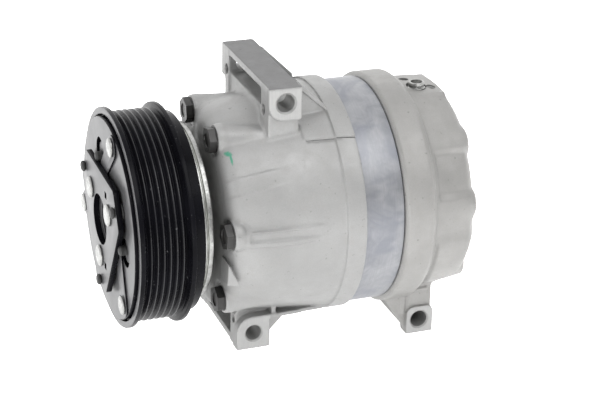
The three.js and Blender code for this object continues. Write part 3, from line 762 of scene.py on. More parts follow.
# web behind each end of the bar, with a thin rim down its slope
for ya, yb in ((-25.6, -22.6), (29.0, 32.0)):
    H.add(f_prism([(10, 78.9), (13.4, 79.2), (31.4, 61.6), (31.4, 48), (10, 48)], ya, yb, 1, 0.6), 0.9)
for ya, yb in ((-27.0, -22.6), (29.0, 33.4)):
    H.add(f_prism([(12.0, 79.2), (14.0, 79.2), (32.0, 61.8), (30.6, 60.4), (12.0, 77.2)], ya, yb, 1, 0.4), 0.5)
H.add(f_prism([(-5.2, 60.4), (13.3, 60.4), (13.3, 79.4), (-5.2, 79.4)], 34, 47, 1, 0.5), 0.8)
H.add(f_prism(rounded([(-5.6, 60.6, 10), (13.4, 60.6, 1.2), (13.4, 79.4, 0.6), (-5.6, 79.4, 0.6)], 9), -37, -32.0, 1, 0.2), 0.35)

lower = [(-22.0, -54.5), (-22.0, -73.6), (-3.8, -73.6), (-3.8, -46), (-17, -46)]
H.add(f_prism(lower, -31.2, -23, 1, 0.6), 1.6)
H.add(f_prism(lower, 23, 31.2, 1, 0.6), 1.6)
H.add(f_box(-21.9, -3.8, -35, 35, -73.8, -69.8, 0.6), 1.0)
shelf = [(-6, -54.5), (2, -54.5), (41.2, -52.2), (41.2, -54.5), (5.3, -56.6), (-6, -57.0)]
H.add(f_prism(shelf, -36.8, -20, 1, 0.35), 0.8)
H.add(f_prism(shelf, 20, 36.8, 1, 0.35), 0.8)
H.add(f_box(-1.9, 0.6, -36.3, -22, -55.5, -44, 0.5), 0.9)
H.add(f_box(-1.9, 0.6, 22, 36.3, -55.5, -44, 0.5), 0.9)
for ya, yb in ((-34.8, -31.0), (31.0, 34.8)):
    H.add(f_prism([(-6, -55), (7.4, -55), (-3.0, -66), (-6, -66)], ya, yb, 1, 0.5), 0.7)
foot_pad = rounded([(-22.6, -54.5, 9.5), (-22.6, -74.2, 0.5), (-3.1, -74.2, 0.5), (-3.1, -54.3, 0.6)], 9)
H.add(f_prism(foot_pad, -37, -29.5, 1, 0.2), 0.6)
H.add(f_prism(foot_pad, 29.5, 37, 1, 0.2), 0.6)
# crankcase inside
H.cut(f_lathe([(-22, 0), (-22, 49.5, 2.5), (28.2, 49.5), (28.2, 0)]), 0.0)
# round cores in the posts
for (x0, x1, y, z, r) in ((-9, 1.5, -26.6, 64.6, 3.0), (-9, 1.5, 37.5, 66.0, 3.0), (-27, -16.0, -27.6, -58.2, 2.5), (-27, -16, 27.6, -58.2, 2.5)):
    H.cut(f_lathe([(x0, 0), (x0, r), (x1, r), (x1, 0)], y, z), 0.5)
# clearance in front of each bolt seat
for d in BOLT_ANGLES:
    H.cut(f_lathe([(-58, 0), (-58, 19), (-40, 13), (BOSS_FACE - 0.4, 9.2), (BOSS_FACE - 0.4, 0)], *polar(BOLT_R, d)), 1.2)

front = bpy.data.objects.new("front_head_casting", H.mesh("front_head_casting"))
bpy.context.scene.collection.objects.link(front)
del H
thin(front)
hold_inside(front)
cuts = [
    lathe([(-95, 0), (-95, 12.2), (-58, 12.2), (-58, 9.5), (-36, 9.5), (-36, 12.5), (-21, 12.5), (-21, 0)], 96),
    lathe([(27.4, 0), (27.4, 49.0), (28.0, 49.0), (28.0, 59.2), (41.2, 59.2), (42.4, 60.4), (60, 60.4), (60, 0)], RING),
    lathe_y([(-60, 0), (-60, 6.1), (-37, 6.1), (-36.2, 5.1), (-20, 5.1), (-20, 0)], 4.3, 70.6),
    lathe_y([(31, 0), (31, 5.1), (46.2, 5.1), (47, 6.0), (60, 6.0), (60, 0)], 4.3, 70.6),
    lathe_y([(-60, 0), (-60, 5.4), (-37, 5.4), (-36.2, 4.5), (-21, 4.5), (-21, 0)], -12.5, -64.6),
    lathe_y([(21, 0), (21, 4.5), (36.2, 4.5), (37, 5.4), (60, 5.4), (60, 0)], -12.5, -64.6),
]
# fine line under the raised pad's edge
pad_line = []
stations = ((14.8, 62.65), (30.0, 64.1), (31.2, 65.35), (41.7, 65.4))
for x, low in stations:
    e = 51.2 - (x - 13.4) * 0.08 - 0.22
    pad_line += [(x, *polar(rr, e + q)) for rr, q in ((low, -0.24), (low, 0.24), (68, 0.3), (68, -0.3))]
top_ = 4 * (len(stations) - 1)
cuts.append(outward(M(pad_line, [(0, 1, 2, 3), (top_ + 3, top_ + 2, top_ + 1, top_)] + [
    (a_ + j, a_ + 4 + j, a_ + 4 + (j + 1) % 4, a_ + (j + 1) % 4) for a_ in range(0, top_, 4) for j in range(4)])))
for d in BOLT_ANGLES:
    y, z = polar(BOLT_R, d)
    cuts.append(lathe([(-55, 0), (-55, 17), (-40, 12), (BOSS_FACE - 0.4, 8.8), (BOSS_FACE, 8.5, 0.2), (BOSS_FACE, 4.4), (30, 4.4), (30, 0)], 64, y, z))
boolean(front, cuts)
show_front = front
finish_mesh(front, 34)
front.data.materials.clear()
for mt in (CAST, MILLED, BORED, CAST_IN_PAINTED_SHADE, CAST_TOP_PAINTED_SHADE):
    front.data.materials.append(mt)


def front_rule(c, n):
    idx = np.zeros(len(c), int)
    r = np.hypot(c[:, 1], c[:, 2])
    lug = ((c[:, 2] > 59.5) | (c[:, 2] < -54)) & (np.abs(n[:, 1]) > 0.9)
    idx[lug & ((np.abs(c[:, 1] + 37) < 0.12) | (np.abs(c[:, 1] - 47) < 0.12) | (np.abs(c[:, 1] - 37) < 0.12))] = 1
    idx[(n[:, 0] > 0.98) & (c[:, 0] > 41.7)] = 1
    for d in BOLT_ANGLES:
        y, z = polar(BOLT_R, d)
        q = np.hypot(c[:, 1] - y, c[:, 2] - z)
        idx[(q < 8.8) & (np.abs(c[:, 0] - BOSS_FACE) < 0.1) & (n[:, 0] < -0.9)] = 1
        idx[(q < 4.5) & (np.abs(n[:, 0]) < 0.2)] = 2
    for bx, bz, br in ((4.3, 70.6, 6.2), (-12.5, -64.6, 5.5)):
        q = np.hypot(c[:, 0] - bx, c[:, 2] - bz)
        idx[(q < br) & (np.abs(n[:, 1]) < 0.9)] = 2
    # the crankcase hollow and the shoulder face behind the coil take the darker copy of the cast: painted shade
    idx[(r < 49.9) & (c[:, 0] > -23) & (c[:, 0] < 28.1)] = 3
    idx[(r < 47) & (r > 17.5) & (c[:, 0] > -39.6) & (c[:, 0] < -31.9) & (idx == 0)] = 3
    idx[(r < 59.4) & (c[:, 0] >= 27.9) & (n[:, 0] > -0.9) & (idx == 0)] = 2
    # upward faces of the upper lug bar take the darker copy of the cast: painted shade on the top
    idx[(n[:, 2] > 0.8) & (c[:, 2] > 78.6) & (c[:, 0] < 14.5)] = 4
    return idx


by_face(front, front_rule)
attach(front, "housing")
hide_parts("front_head")

# ------------------------------------------------------------------- rear head
def dome_offset(x, y, z):
    """Shallow flats between the bolt bosses of the rear casting."""
    a = np.degrees(np.arctan2(z, -y))
    out = 0
    for a0, a1, dep in ((11.2, 40.0, 2.2), (-50, -6, -1.9), (-88, -62, 1.4), (140, 160, 1.6), (-160, -135, 1.6)):
        out = out - dep * smooth((a - a0) / (4.2 if dep > 0 else 9.0)) * smooth((a1 - a) / (4.5 if dep > 0 else 9.0))
    return (out * smooth((x - 85.5) / 2.5)).astype(F)


R = Field((63, -67.5, -81.5), (121.0, 67.5, 67.5), VOX)
R.add(f_lathe([(65, 0), (65, 64.6), (66.6, 66.5), (80.8, 66.5, 1.5), (83.7, 64.4, 2.5), (84.6, 61.7, 2.5), (98, 60.8, 14), (107.0, 58.8, 6),
               (111.1, 53.2, 3.5), (111.1, 0)], steps=8, off=dome_offset))
for d, x1 in ((5.9, 110.9), (-46.1, 112.4), (46, 110.9), (112, 107.6), (-113, 108.6), (179, 108.6)):
    y, z = polar(BOLT_R - (1.4 if d == -46.1 else 3.2), d)
    R.add(f_lathe([(84, 0), (84, 6.0), (96, 7.2), (x1 - 1.2, 7.0, 1.2), (x1, 5.6, 0.8), (x1, 0)], y, z), 3.0)
R.add(f_box(83, 107, -16.2, 16.2, 38, 59, 0.5), 2.0)
R.add(f_prism(link((24.5, 24.5), 15, (1, 1), 13), 103, 119.5, 0, 0.8), 1.8)
R.add(f_lathe([(98, 0), (98, 13.5), (111.3, 12.6, 1.2), (111.3, 0)], 4, -31), 2.0)
lug = rounded([(80.6, -63.4, 4.2), (80.6, -80.4, 0.5), (97, -80.4, 0.5), (97, -63.4, 4.2)], 6)
side = [(81.4, -62), (81.4, -79.9), (96.0, -79.9), (96.0, -50), (84, -50)]
R.add(f_prism(side, -35.4, -26, 1, 0.6), 1.4)
R.add(f_prism(side, 26, 35.4, 1, 0.6), 1.4)
R.add(f_box(82.2, 96.0, -32, 32, -79.9, -64.6, 0.7), 1.6)
R.add(f_box(82.4, 94.8, -28, 28, -66, -46, 0.9), 3.0)
for ya, yb in ((-34.4, -30.6), (30.6, 34.4)):
    R.add(f_prism([(67.4, -50), (67.4, -57.2), (81.8, -80.0), (84, -80.0), (84, -50)], ya, yb, 1, 0.5), 1.0)
    # upright ribs over the foot
    R.add(f_box(78.0, 80.2, ya - 0.9 if ya < 0 else ya, yb if ya < 0 else yb + 0.9, -68, -52, 0.5), 0.8)
R.add(f_prism([(70, -54.8), (70, -52.6), (93.2, -51.6), (93.2, -53.6)], -36.4, -24, 1, 0.4), 0.8)
R.add(f_prism([(70, -54.8), (70, -52.6), (93.2, -51.6), (93.2, -53.6)], 24, 36.4, 1, 0.4), 0.8)
R.add(f_prism(lug, -37, -28, 1, 0.25), 0.45)
R.add(f_prism(lug, 28, 37, 1, 0.25), 0.45)
# gas chambers
R.cut(f_lathe([(60, 0), (60, 24.5), (94, 23.5, 4), (94, 0)]))
R.cut(f_lathe([(60, 28), (60, 47.3), (93, 45.5, 4), (93, 29, 4)]))
rear = bpy.data.objects.new("rear_head_casting", R.mesh("rear_head_casting"))
bpy.context.scene.collection.objects.link(rear)
del R
thin(rear)
hold_inside(rear)
cuts = [
    lathe([(50, 0), (50, 70), (65.0, 70), (65.0, 63.0), (67.1, 62.9), (67.1, 60.5), (65.0, 60.5), (65.0, 50.5), (69.6, 50.3), (69.6, 0)], RING),
    lathe([(88, 0), (88, 9), (118.3, 9), (119.5, 10.2), (130, 10.2), (130, 0)], 96, 24.5, 24.5),
    lathe([(88, 0), (88, 7), (118.3, 7), (119.5, 8.2), (130, 8.2), (130, 0)], 96, 1, 1),
    lathe([(104, 0), (104, 3.2), (118.9, 3.2), (119.5, 3.9), (130, 3.9), (130, 0)], 48, 12.7, 12.7),
    lathe([(99.4, 0), (99.4, 9.5), (110.6, 9.5), (111.3, 10.2), (125, 10.2), (125, 0)], 96, 4, -31),
    lathe_z([(51.9, 0), (51.9, 5.3), (58.4, 5.3), (59, 5.9), (70, 5.9), (70, 0)], 93.2, -6.5),
    lathe_z([(50, 0), (50, 2.2), (58.5, 2.2), (59, 2.8), (70, 2.8), (70, 0)], 101.5, -7.8),
    lathe_z([(50, 0), (50, 2.2), (58.5, 2.2), (59, 2.8), (70, 2.8), (70, 0)], 90.2, 5.0),
    lathe_y([(-60, 0), (-60, 5.9), (-37, 5.9), (-36.2, 5.0), (36.2, 5.0), (37, 5.9), (60, 5.9), (60, 0)], 88.5, -71.8),
]
for d in BOLT_ANGLES:
    y, z = polar(BOLT_R, d)
    cuts.append(lathe([(50, 0), (50, 4.4), (83, 4.4), (85.4, 0)], 48, y, z))
boolean(rear, cuts)
finish_mesh(rear, 34)
rear.data.materials.clear()
for mt in (CAST_REAR, MILLED, BORED, CAST_IN_PAINTED_SHADE):
    rear.data.materials.append(mt)


def rear_rule(c, n):
    idx = np.zeros(len(c), int)
    idx[(np.abs(n[:, 1]) > 0.9) & (np.abs(np.abs(c[:, 1]) - 37) < 0.12) & (c[:, 2] < -60)] = 1
    idx[(n[:, 0] > 0.98) & (c[:, 0] > 119.3)] = 1
    idx[(n[:, 0] < -0.98) & (c[:, 0] < 65.2)] = 1
    idx[(n[:, 2] > 0.98) & (np.abs(c[:, 2] - 59) < 0.1) & (c[:, 0] > 82)] = 1
    q = np.hypot(c[:, 0] - 88.5, c[:, 2] + 71.8)
    idx[(q < 6.0) & (np.abs(n[:, 1]) < 0.9)] = 2
    for y, z, r in ((24.5, 24.5, 10.3), (1, 1, 8.3), (12.7, 12.7, 4), (4, -31, 10.3)):
        q = np.hypot(c[:, 1] - y, c[:, 2] - z)
        idx[(q < r) & (np.abs(n[:, 0]) < 0.9) & (c[:, 0] > 96)] = 2
    for x, y, r in ((93.2, -6.5, 6), (101.5, -7.8, 2.9), (90.2, 5, 2.9)):
        q = np.hypot(c[:, 0] - x, c[:, 1] - y)
        idx[(q < r) & (np.abs(n[:, 2]) < 0.9) & (c[:, 2] > 49)] = 2
    r = np.hypot(c[:, 1], c[:, 2])
    # hollows inside the rear casting take the darker copy of the cast: painted shade
    idx[(r < 49) & (c[:, 0] < 95) & (idx == 0)] = 3
    return idx


by_face(rear, rear_rule)
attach(rear, "housing")
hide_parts("rear_head", "rear_foot", "rear_port_block")

# -------------------------------------------------------------- cylinder block
block_cuts = [rod(20, 70, 16.4, *polar(32.5, d), 72) for d in PISTON_ANGLES]
block_cuts += [rod(20, 70, 4.4, *polar(BOLT_R, d), 32) for d in BOLT_ANGLES]
block_cuts.append(prism([(44.5, -58.9), (64.9, -58.3), (64.9, -58.75), (44.5, -59.35)], -30, -20, 1))
show("cylinder_block_turned", lathe([(28.3, 50.3, 0.3), (28.3, 58.9, 0.8), (42.3, 58.9), (42.3, 60.2), (44.3, 60.2), (44.3, 62.6), (42.3, 62.6),
     (42.3, 64.0, 0.4), (64.7, 64.0, 0.7), (64.7, 10.5, 0.3), (33.3, 10.5, 0.3), (33.3, 50.3)], RING * 2), "housing", BAND, ["cylinder_block"], cuts=block_cuts[:-1])
show("front_o_ring_moulded", lathe([(42.45, 60.6, 0.7), (42.45, 62.2, 0.7), (44.0, 62.2, 0.7), (44.0, 60.6, 0.7)], RING), "housing", RUBBER, ["front_o_ring"])
show("rear_o_ring_moulded", lathe([(65.1, 60.9, 0.7), (65.1, 62.5, 0.7), (66.8, 62.5, 0.7), (66.8, 60.9, 0.7)], RING), "housing", RUBBER, ["rear_o_ring"])

# ---------------------------------------------------------------------- pulley
belt = []
for k in range(7):
    root = -76.8 + 3.56 * (k - 0.5)
    belt.append((root, 56.4, 0.35))
    if k < 6:
        belt.append((root + 1.78, 59.0, 0.42))
pulley = show("belt_pulley", lathe([
    (-80.6, 26, 0.4), (-80.6, 57.2, 0.3), (-83.6, 57.6, 0.5), (-83.6, 61.0, 0.6), (-83.3, 61.4, 0.4), (-80.9, 61.4, 0.7), (-79.3, 58.4, 0.4),
    *belt,
    (-55.9, 58.6, 0.4), (-55.2, 61.4, 0.6), (-53.1, 61.4, 0.5), (-52.6, 61.0, 0.4), (-52.4, 56.1, 0.8), (-46.1, 55.9, 0.8),
    (-46.1, 50.7, 0.6), (-75, 50.7, 0.6), (-75, 31.4, 0.6), (-50.5, 31.4, 0.5), (-50.5, 27.8, 0.5), (-75.6, 27.8), (-75.6, 26, 0.3)], RING * 2, steps=3),
    "pulley", [BLACK, FACE, CREST_PAINTED_HIGHLIGHT], ["pulley"], sharp=28)
# front-facing rim faces of the pulley take the grey face coating as a painted highlight; rib crests take the lighter
# crest black, also a painted highlight
by_face(pulley, lambda c, n: np.where((n[:, 0] < -0.45) & (c[:, 0] < -79) & (np.hypot(c[:, 1], c[:, 2]) > 56.5), 1,
                                      np.where((np.hypot(c[:, 1], c[:, 2]) > 58.55) & (np.abs(n[:, 0]) < 0.75) & (c[:, 0] > -79) & (c[:, 0] < -56), 2, 0)))

# ------------------------------------------------------------ clutch on housing
coil = show("coil_housing_pressed", lathe([
    (-73, 33, 0.4), (-73, 35.5, 0.4), (-46, 35.5, 0.4), (-46, 46.6, 0.4), (-73, 46.6, 0.4), (-73, 49.2, 0.4), (-46.0, 49.2, 0.6), (-45.4, 49.5, 0.4),
    (-43.6, 49.5, 0.35), (-43.3, 49.0, 0.25), (-42.8, 49.0, 0.25), (-42.5, 49.5, 0.35), (-39.75, 49.5, 0.7), (-39.75, 30, 0.6), (-43, 30, 0.4), (-43, 33, 0.4)], RING),
    "housing", [ZINC, ZINC_GROOVE_PAINTED_SHADE], ["coil_housing"], sharp=30)
# faces in the groove between the coil ring's two flanges take the darker zinc: painted shade
by_face(coil, lambda c, n: ((c[:, 0] > -43.9) & (c[:, 0] < -42.2)).astype(int))
winding = []
turns = 18
for k in range(turns):
    x0 = -71.8 + 25.2 * k / turns
    winding += [(x0 + 0.05, 45.3, 0.2), (x0 + 0.7, 45.8, 0.3), (x0 + 25.2 / turns - 0.05, 45.3, 0.2)]
show("coil_winding_turns", lathe([(-72, 36.2, 0.4), (-72, 45.0, 0.3), *winding, (-46.4, 45.0, 0.3), (-46.4, 36.2, 0.4)], 96, steps=2), "housing", COPPER, ["coil_winding"])
cy, cz = polar(55, 200)
con = prism(rounded([(cy - 1.4, cz - 7, 1.5), (cy + 7.6, cz - 7, 1.5), (cy + 7.6, cz + 7, 1.5), (cy - 1.4, cz + 7, 1.5)]), -45.2, -37.8, 0, 0.8)
show("coil_connector_shell", con, "housing", PLASTIC, ["coil_connector"],
     cuts=[prism(rounded([(cy + 0.4, cz - 5.2, 0.8), (cy + 6.0, cz - 5.2, 0.8), (cy + 6.0, cz + 5.2, 0.8), (cy + 0.4, cz + 5.2, 0.8)]), -47, -40.5, 0),
           prism([(cy - 2.5, cz - 1.5), (cy - 1.0, cz - 1.5), (cy - 1.0, cz + 1.5), (cy - 2.5, cz + 1.5)], -46, -42, 0)])
show("bearing_inner_race_ground", lathe([(-73.5, 17.7, 0.4), (-73.5, 20.6, 0.4), (-67.5, 20.6), (-66, 19.9, 0.8), (-63.5, 19.5, 2), (-61, 19.9, 0.8), (-59.5, 20.6), (-53.5, 20.6, 0.4), (-53.5, 17.7, 0.4)], 96), "housing", STEEL, ["bearing_inner_race"])
show("bearing_outer_race_ground", lathe([(-73.5, 24.4, 0.3), (-73.5, 27.5, 0.4), (-53.5, 27.5, 0.4), (-53.5, 24.4, 0.3), (-59.5, 24.4), (-61, 25.0, 0.8), (-63.5, 25.4, 2), (-66, 25.0, 0.8), (-67.5, 24.4)], 96), "pulley", STEEL, ["bearing_outer_race"])
show("bearing_circlip_ring", lathe([(-75.6, 18.1, 0.2), (-75.6, 20.8, 0.2), (-73.9, 20.8, 0.2), (-73.9, 18.1, 0.2)], 96), "housing", BOLT, ["bearing_circlip"],
     cuts=[prism([(-1.8, 16), (1.8, 16), (2.4, 22), (-2.4, 22)], -77, -72, 0)])

# ------------------------------------------------------ shaft and driver plate
thread = []
for k in range(9):
    thread += [(-84.4 + k * 0.45, 5.0), (-84.18 + k * 0.45, 4.72)]
show("shaft_turned", lathe([(-85.2, 0), (-85.2, 4.2, 0.3), (-84.7, 5.0), *thread, (-80, 5), (-80, 7, 0.4), (-58, 7), (-57, 8, 0.3), (40, 8, 0.3), (40, 7), (59, 7, 0.8), (59, 0)], 96),
     "shaft", STEEL, ["shaft"])
recess = []
for k in range(6):
    recess += [(-80.3 - k * 1.0, 14.0), (-80.8 - k * 1.0, 14.45)]
show("hub_flanged", lathe([(-86.5, 14.3, 0.2), (-86.5, 16.2, 0.4), (-82, 16.2, 0.6), (-79.6, 11.6, 0.8), (-73, 11.6, 0.4), (-73, 7.3, 0.3), (-79.8, 7.3, 0.3), (-79.8, 14.0), *recess], 120),
     "shaft", FACE, ["hub"])


def hex_points(af, y, z, phase=0.0, r=0.35):
    c = af / 2 / math.cos(math.pi / 6)
    return rounded([(y + c * math.cos(phase + k * math.pi / 3), z + c * math.sin(phase + k * math.pi / 3), r) for k in range(6)], 3)


nut = show("shaft_nut_hex", prism(hex_points(16.0, 0, 0, 0.3), -84.4, -80.1, 0, 0.0), "shaft", ZINC, ["shaft_nut"],
           cuts=[rod(-90, -70, 5.35, 0, 0, 64),
                 join(lathe([(-86, 7.6), (-86, 14), (-82.9, 14)], 96)), ])


def plate_corner(k, d, r=42.0):
    return polar(r, 28.6 + 120 * k + d)


corners = []
for k in range(3):
    corners += [(*plate_corner(k, -15), 3.0), (*plate_corner(k, 15), 3.0)]
plate_cuts = [rod(-95, -80, 14.3, 0, 0, 96)]
for k in range(3):
    plate_cuts += [rod(-95, -80, 2.8, *polar(22.2, 28.6 + 120 * k), 32), rod(-95, -80, 2.4, *polar(37.0, 28.6 + 120 * k), 32)]
for (py, pz, w, h) in ((-14.1, 20.0, 2.0, 1.9), (-10.1, -24.0, 2.0, 1.9)):
    plate_cuts.append(prism([(py - w, pz - h), (py + w, pz - h), (py + w, pz + h), (py - w, pz + h)], -95, -80, 0))
plate = show("driver_plate_pressed", prism(rounded(corners, 6), -90, -86.8, 0, 0.35), "shaft", [FACE, BLACK], ["driver_plate"], sharp=40, cuts=plate_cuts)
by_face(plate, lambda c, n: (n[:, 0] > -0.75).astype(int))

disc_cuts = [rod(-90, -80, 8.0, *polar(37.2, -7 + 120 * k), 72) for k in range(3)]
disc_cuts += [rod(-90, -80, 2.8, *polar(50.1, 72.5 + 120 * k), 32) for k in range(3)]
disc = show("armature_disc_ground", lathe([(-85.4, 27, 0.3), (-85.4, 56.0, 0.4), (-84.9, 56.4, 0.2), (-81.15, 56.4, 0.3), (-81.15, 27, 0.3)], RING * 2), "armature", [FACE, BLACK], ["armature_disc"], sharp=40, cuts=disc_cuts)
by_face(disc, lambda c, n: (n[:, 0] > -0.75).astype(int))

for k in range(3):
    # rubber stop standing in each hole of the disc on a pressed cup
    sy, sz = polar(36.5, -7 + 120 * k)
    qy, qz = polar(34.2, -7 + 120 * k)
    show(f"disc_stop_cup_{k + 1}", lathe([(-84.3, 0), (-84.3, 5.8, 0.5), (-83.7, 6.1, 0.2), (-81.5, 6.1, 0.2), (-81.5, 0)], 72, sy, sz), "armature", FACE)
    show(f"disc_stop_rubber_{k + 1}", lathe([(-88.6, 0), (-88.6, 2.0, 0.8), (-87.6, 3.1, 0.6), (-85.4, 2.9), (-84.45, 3.3, 0.2), (-84.45, 0)], 40, qy, qz), "armature", RUBBER)
    pr, dr = polar(22.2, 28.6 + 120 * k), polar(50.1, 72.5 + 120 * k)
    inner, bp = polar(22.2, 28.6 + 120 * (k + 1)), polar(37.0, 28.6 + 120 * k)
    show(f"plate_rivet_headed_{k + 1}", lathe([(-91.75, 0), (-91.72, 3.0), (-91.6, 5.2, 0.8), (-91.0, 6.0, 0.5), (-90.3, 6.0, 0.2), (-90.3, 2.45), (-85.4, 2.45), (-85.4, 3.4, 0.3), (-84.4, 3.4, 0.4), (-84.4, 0)], 64, *pr), "shaft", ZINC, [f"plate_rivet_{k + 1}"])
    show(f"rubber_bumper_moulded_{k + 1}", lathe([(-92.4, 0), (-92.4, 2.2, 0.5), (-91.6, 3.1, 0.4), (-90.7, 3.1, 0.3), (-90.3, 2.6, 0.2), (-90.3, 2.05), (-86.5, 2.05), (-86.5, 4.6, 0.3), (-85.7, 4.6, 0.3), (-85.7, 0)], 48, *bp), "shaft", RUBBER, [f"rubber_bumper_{k + 1}"])
    leaf = prism(link(dr, 6.8, inner, 4.6, 20), -86.5, -85.7, 0, 0.15, 2)
    lo = show(f"leaf_spring_strip_{k + 1}", leaf, "shaft", [FACE, BLACK], [f"leaf_spring_{k + 1}"], sharp=40,
              cuts=[rod(-95, -80, 2.8, *inner, 24), rod(-95, -80, 2.8, *dr, 24)])
    by_face(lo, lambda c, n: (n[:, 0] > -0.75).astype(int))
    show(f"disc_rivet_headed_{k + 1}", lathe([(-88.4, 0), (-88.38, 2.5), (-88.25, 4.5, 0.6), (-87.8, 5.3, 0.4), (-87.1, 5.3, 0.2), (-87.1, 2.45), (-81.6, 2.45, 0.3), (-81.6, 0)], 64, *dr), "armature", ZINC, [f"disc_rivet_{k + 1}"])

# --------------------------------------------------------------- through bolts
for i, d in enumerate(BOLT_ANGLES):
    y, z = polar(BOLT_R, d)
    ph = math.radians([20, 47.6, 37.6, 31, 0, 15][i])
    threads = []
    for k in range(14):
        threads += [(64 + k * 1.25, 4.0), (64.62 + k * 1.25, 3.55)]
    shank = lathe([(-32.4, 0), (-32.4, 6.9, 0.2), (-31.75, 7.3, 0.2), (-31.65, 4.0), (63, 4.0), *threads, (81.6, 3.6), (82, 3.0), (82, 0)], 48, y, z)
    head = prism(hex_points(13.0, y, z, ph), -36.1, -32.2, 0)
    o = show(f"through_bolt_hex_{i + 1}", head, "housing", BOLT, [f"through_bolt_{i + 1}"], sharp=30,
             cuts=[lathe([(-37.4, 6.0), (-37.4, 12), (-34.9, 12)], 64, y, z), lathe([(-36.9, 0), (-36.9, 4.1), (-35.5, 3.8, 0.3), (-35.5, 0)], 40, y, z)], adds=[shank])

# ----------------------------------------------------------- fittings, rear end
stub = lathe_z([(52.3, 0), (52.3, 4.8, 0.3), (59.0, 4.8), (59.3, 5.1, 0.2), (60.2, 5.1, 0.3), (60.5, 4.4), (61.2, 4.2, 0.3), (61.8, 4.5, 0.3), (63.1, 4.5, 0.4), (63.5, 4.1, 0.2), (63.5, 3.3, 0.2), (60.6, 3.0, 0.3), (60.6, 0)], 93.2, -6.5, 96)
show("relief_valve_body", stub, "housing", ZINC, ["relief_valve"])
show("control_valve_body", lathe([(99.7, 0), (99.7, 9.0, 0.5), (103, 9.0, 0.3), (103.6, 8.0, 0.3), (105.2, 8.0, 0.3), (105.8, 9.0, 0.3), (110.4, 9.0, 0.6), (110.6, 5.5, 0.3), (112.6, 5.5, 0.8), (112.6, 2.0), (111.6, 1.8), (111.6, 0)], 96, 4, -31), "housing", BRASS, ["control_valve"])

# -------------------------------------------------------------- inner workings
for k, d in enumerate(PISTON_ANGLES):
    y, z = polar(32.5, d)
    rings = []
    for g in (48.6, 50.6):
        rings += [(g, 16.1, 0.1), (g, 15.5), (g + 1.0, 15.5), (g + 1.0, 16.1, 0.1)]
    show(f"piston_turned_{k + 1}", lathe([(38, 10, 0.5), (38, 16.1, 0.6), *rings, (53, 16.1, 0.5), (53, 0), (49.5, 0), (49.5, 10, 1.5)], 96, y, z), f"piston_unit_{k + 1}", BAND, [f"piston_{k + 1}"])
    ballp = [(10 - 6 * math.cos(t), 6 * math.sin(t)) for t in [math.pi * q / 24 for q in range(0, 20)]]
    ballp = [(10 + 6 * math.cos(t), max(0.0, 6 * math.sin(t))) for t in [math.pi - (math.pi - 0.56) * q / 20 for q in range(21)]]
    ballp[0] = (4.0, 0)
    ballq = [(43 + 5.5 * math.cos(t), max(0.0, 5.5 * math.sin(t))) for t in [math.pi - 0.62 - (math.pi - 0.62) * q / 16 for q in range(17)]]
    ballq[-1] = (48.5, 0)
    show(f"piston_rod_turned_{k + 1}", lathe([*ballp, *ballq], 48, y, z), f"piston_unit_{k + 1}", STEEL, [f"piston_rod_{k + 1}"])

carried = {
    "head_gasket": GASKET, "suction_reed": STEEL, "valve_plate": STEEL, "shaft_seal": RUBBER, "front_bearing": STEEL, "rear_bearing": STEEL,
    # the wobble plate wears the darker inside copy of the cast: painted shade
    "guide_pin": STEEL, "drive_lug": STEEL, "wobble_plate": CAST_IN_PAINTED_SHADE, "journal": STEEL,
}
for name, mt in carried.items():
    o = NODES[name]
    o.data.materials.clear()
    o.data.materials.append(mt)
    for p in o.data.polygons:
        p.use_smooth = True
    o.data.set_sharp_from_angle(angle=math.radians(30))
    b = o.modifiers.new("edge", "BEVEL")
    b.width, b.segments, b.limit_method, b.angle_limit = 0.00025 if name not in ("suction_reed", "head_gasket") else 0.00006, 2, "ANGLE", math.radians(40)
    b.use_clamp_overlap = True

# ---------------------------------------------------------------------- camera
sc = bpy.context.scene
az, el, roll = math.radians(-20.49489426), math.radians(23.71672406), math.radians(1.28745591)
back = Vector((math.sin(az) * math.cos(el), -math.cos(az) * math.cos(el), math.sin(el)))
right = Vector((math.cos(az), math.sin(az), 0))
up = back.cross(right)
r2 = right * math.cos(roll) + up * math.sin(roll)
u2 = -right * math.sin(roll) + up * math.cos(roll)
cam = bpy.data.cameras.new("camera")
co = bpy.data.objects.new("camera", cam)
sc.collection.objects.link(co)
eye = Vector((-302.17 - LUG_X, -880.83, 409.25)) / 1000
rot = Matrix((r2, u2, back)).transposed()
co.matrix_world = Matrix.Translation(eye) @ rot.to_4x4()
cam.sensor_width = 36.0
cam.lens = 107.893
cam.clip_start, cam.clip_end = 0.05, 20
sc.camera = co

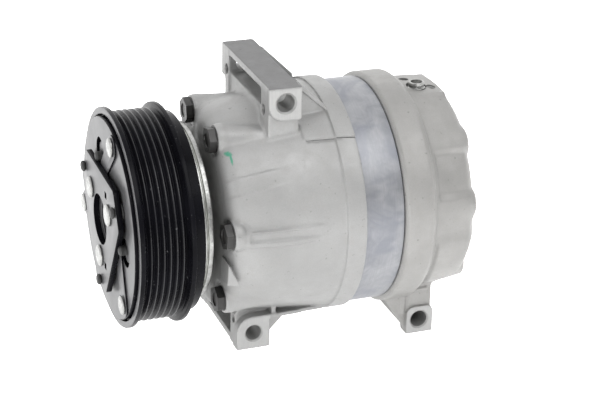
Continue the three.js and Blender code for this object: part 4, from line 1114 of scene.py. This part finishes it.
# ------------------------------------------------------------- floor and light
k = Mat("pale_floor")
fl = k.put(Emission_Color=(1.0, 1.0, 1.0), Emission_Strength=0.95, Base_Color=k.ramp(k.noise(6, 3), [(0.3, (0.90, 0.90, 0.90)), (0.7, (0.93, 0.93, 0.93))]), Roughness=0.85)
k.b.inputs["Specular IOR Level"].default_value = 0.2
fm = bpy.data.meshes.new("floor")
zf = cad_box[0].z
s = 8.0
fm.from_pydata([(-s, -s, zf), (s, -s, zf), (s, s, zf), (-s, s, zf)], [], [(0, 1, 2, 3)])
floor = bpy.data.objects.new("floor", fm)
sc.collection.objects.link(floor)
fm.materials.append(fl)
floor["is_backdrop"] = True

WORLD_FRONT, WORLD_BACK, WORLD_TOP = 0.27, 1.6, 1.35
world = bpy.data.worlds.new("studio")
world.use_nodes = True
sc.world = world
wt = world.node_tree
bg = wt.nodes["Background"]
tc = wt.nodes.new("ShaderNodeTexCoord")
sep = wt.nodes.new("ShaderNodeSeparateXYZ")
wt.links.new(tc.outputs["Generated"], sep.inputs[0])


def world_range(value, a, b, lo, hi):
    n = wt.nodes.new("ShaderNodeMapRange")
    wt.links.new(value, n.inputs[0])
    for s_, v_ in zip(n.inputs[1:5], (a, b, lo, hi)):
        s_.default_value = v_
    return n.outputs[0]


wm = wt.nodes.new("ShaderNodeMath")
wm.operation = "MULTIPLY"
wt.links.new(world_range(sep.outputs["Y"], -0.7, 0.8, WORLD_FRONT, WORLD_BACK), wm.inputs[0])
wt.links.new(world_range(sep.outputs["Z"], 0.0, 1.0, 1.0, WORLD_TOP), wm.inputs[1])
wt.links.new(wm.outputs[0], bg.inputs[1])
bg.inputs[0].default_value = (1, 1, 1, 1)
sc.view_settings.view_transform = "Standard"
sc.view_settings.look = "None"


def area(name, at, to, size, power, size_y=None, color=(1, 1, 1)):
    l = bpy.data.lights.new(name, "AREA")
    l.shape = "RECTANGLE"
    l.size, l.size_y, l.energy, l.color = size, size_y or size, power, color
    o = bpy.data.objects.new(name, l)
    sc.collection.objects.link(o)
    o.location = at
    o.rotation_mode = "QUATERNION"
    o.rotation_quaternion = (Vector(to) - Vector(at)).to_track_quat("-Z", "Y")
    return o


area("key_upper_right", (0.32, -0.85, 1.2), (0.0, 0, 0.0), 1.0, 13.5)
area("key_low_left", (-0.5, -1.1, -0.02), (-0.02, 0, -0.03), 0.9, 3.5, 0.1)
area("side_left", (-1.3, -0.3, 0.35), (0, 0, 0), 0.6, 3, 0.6)

lo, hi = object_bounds()
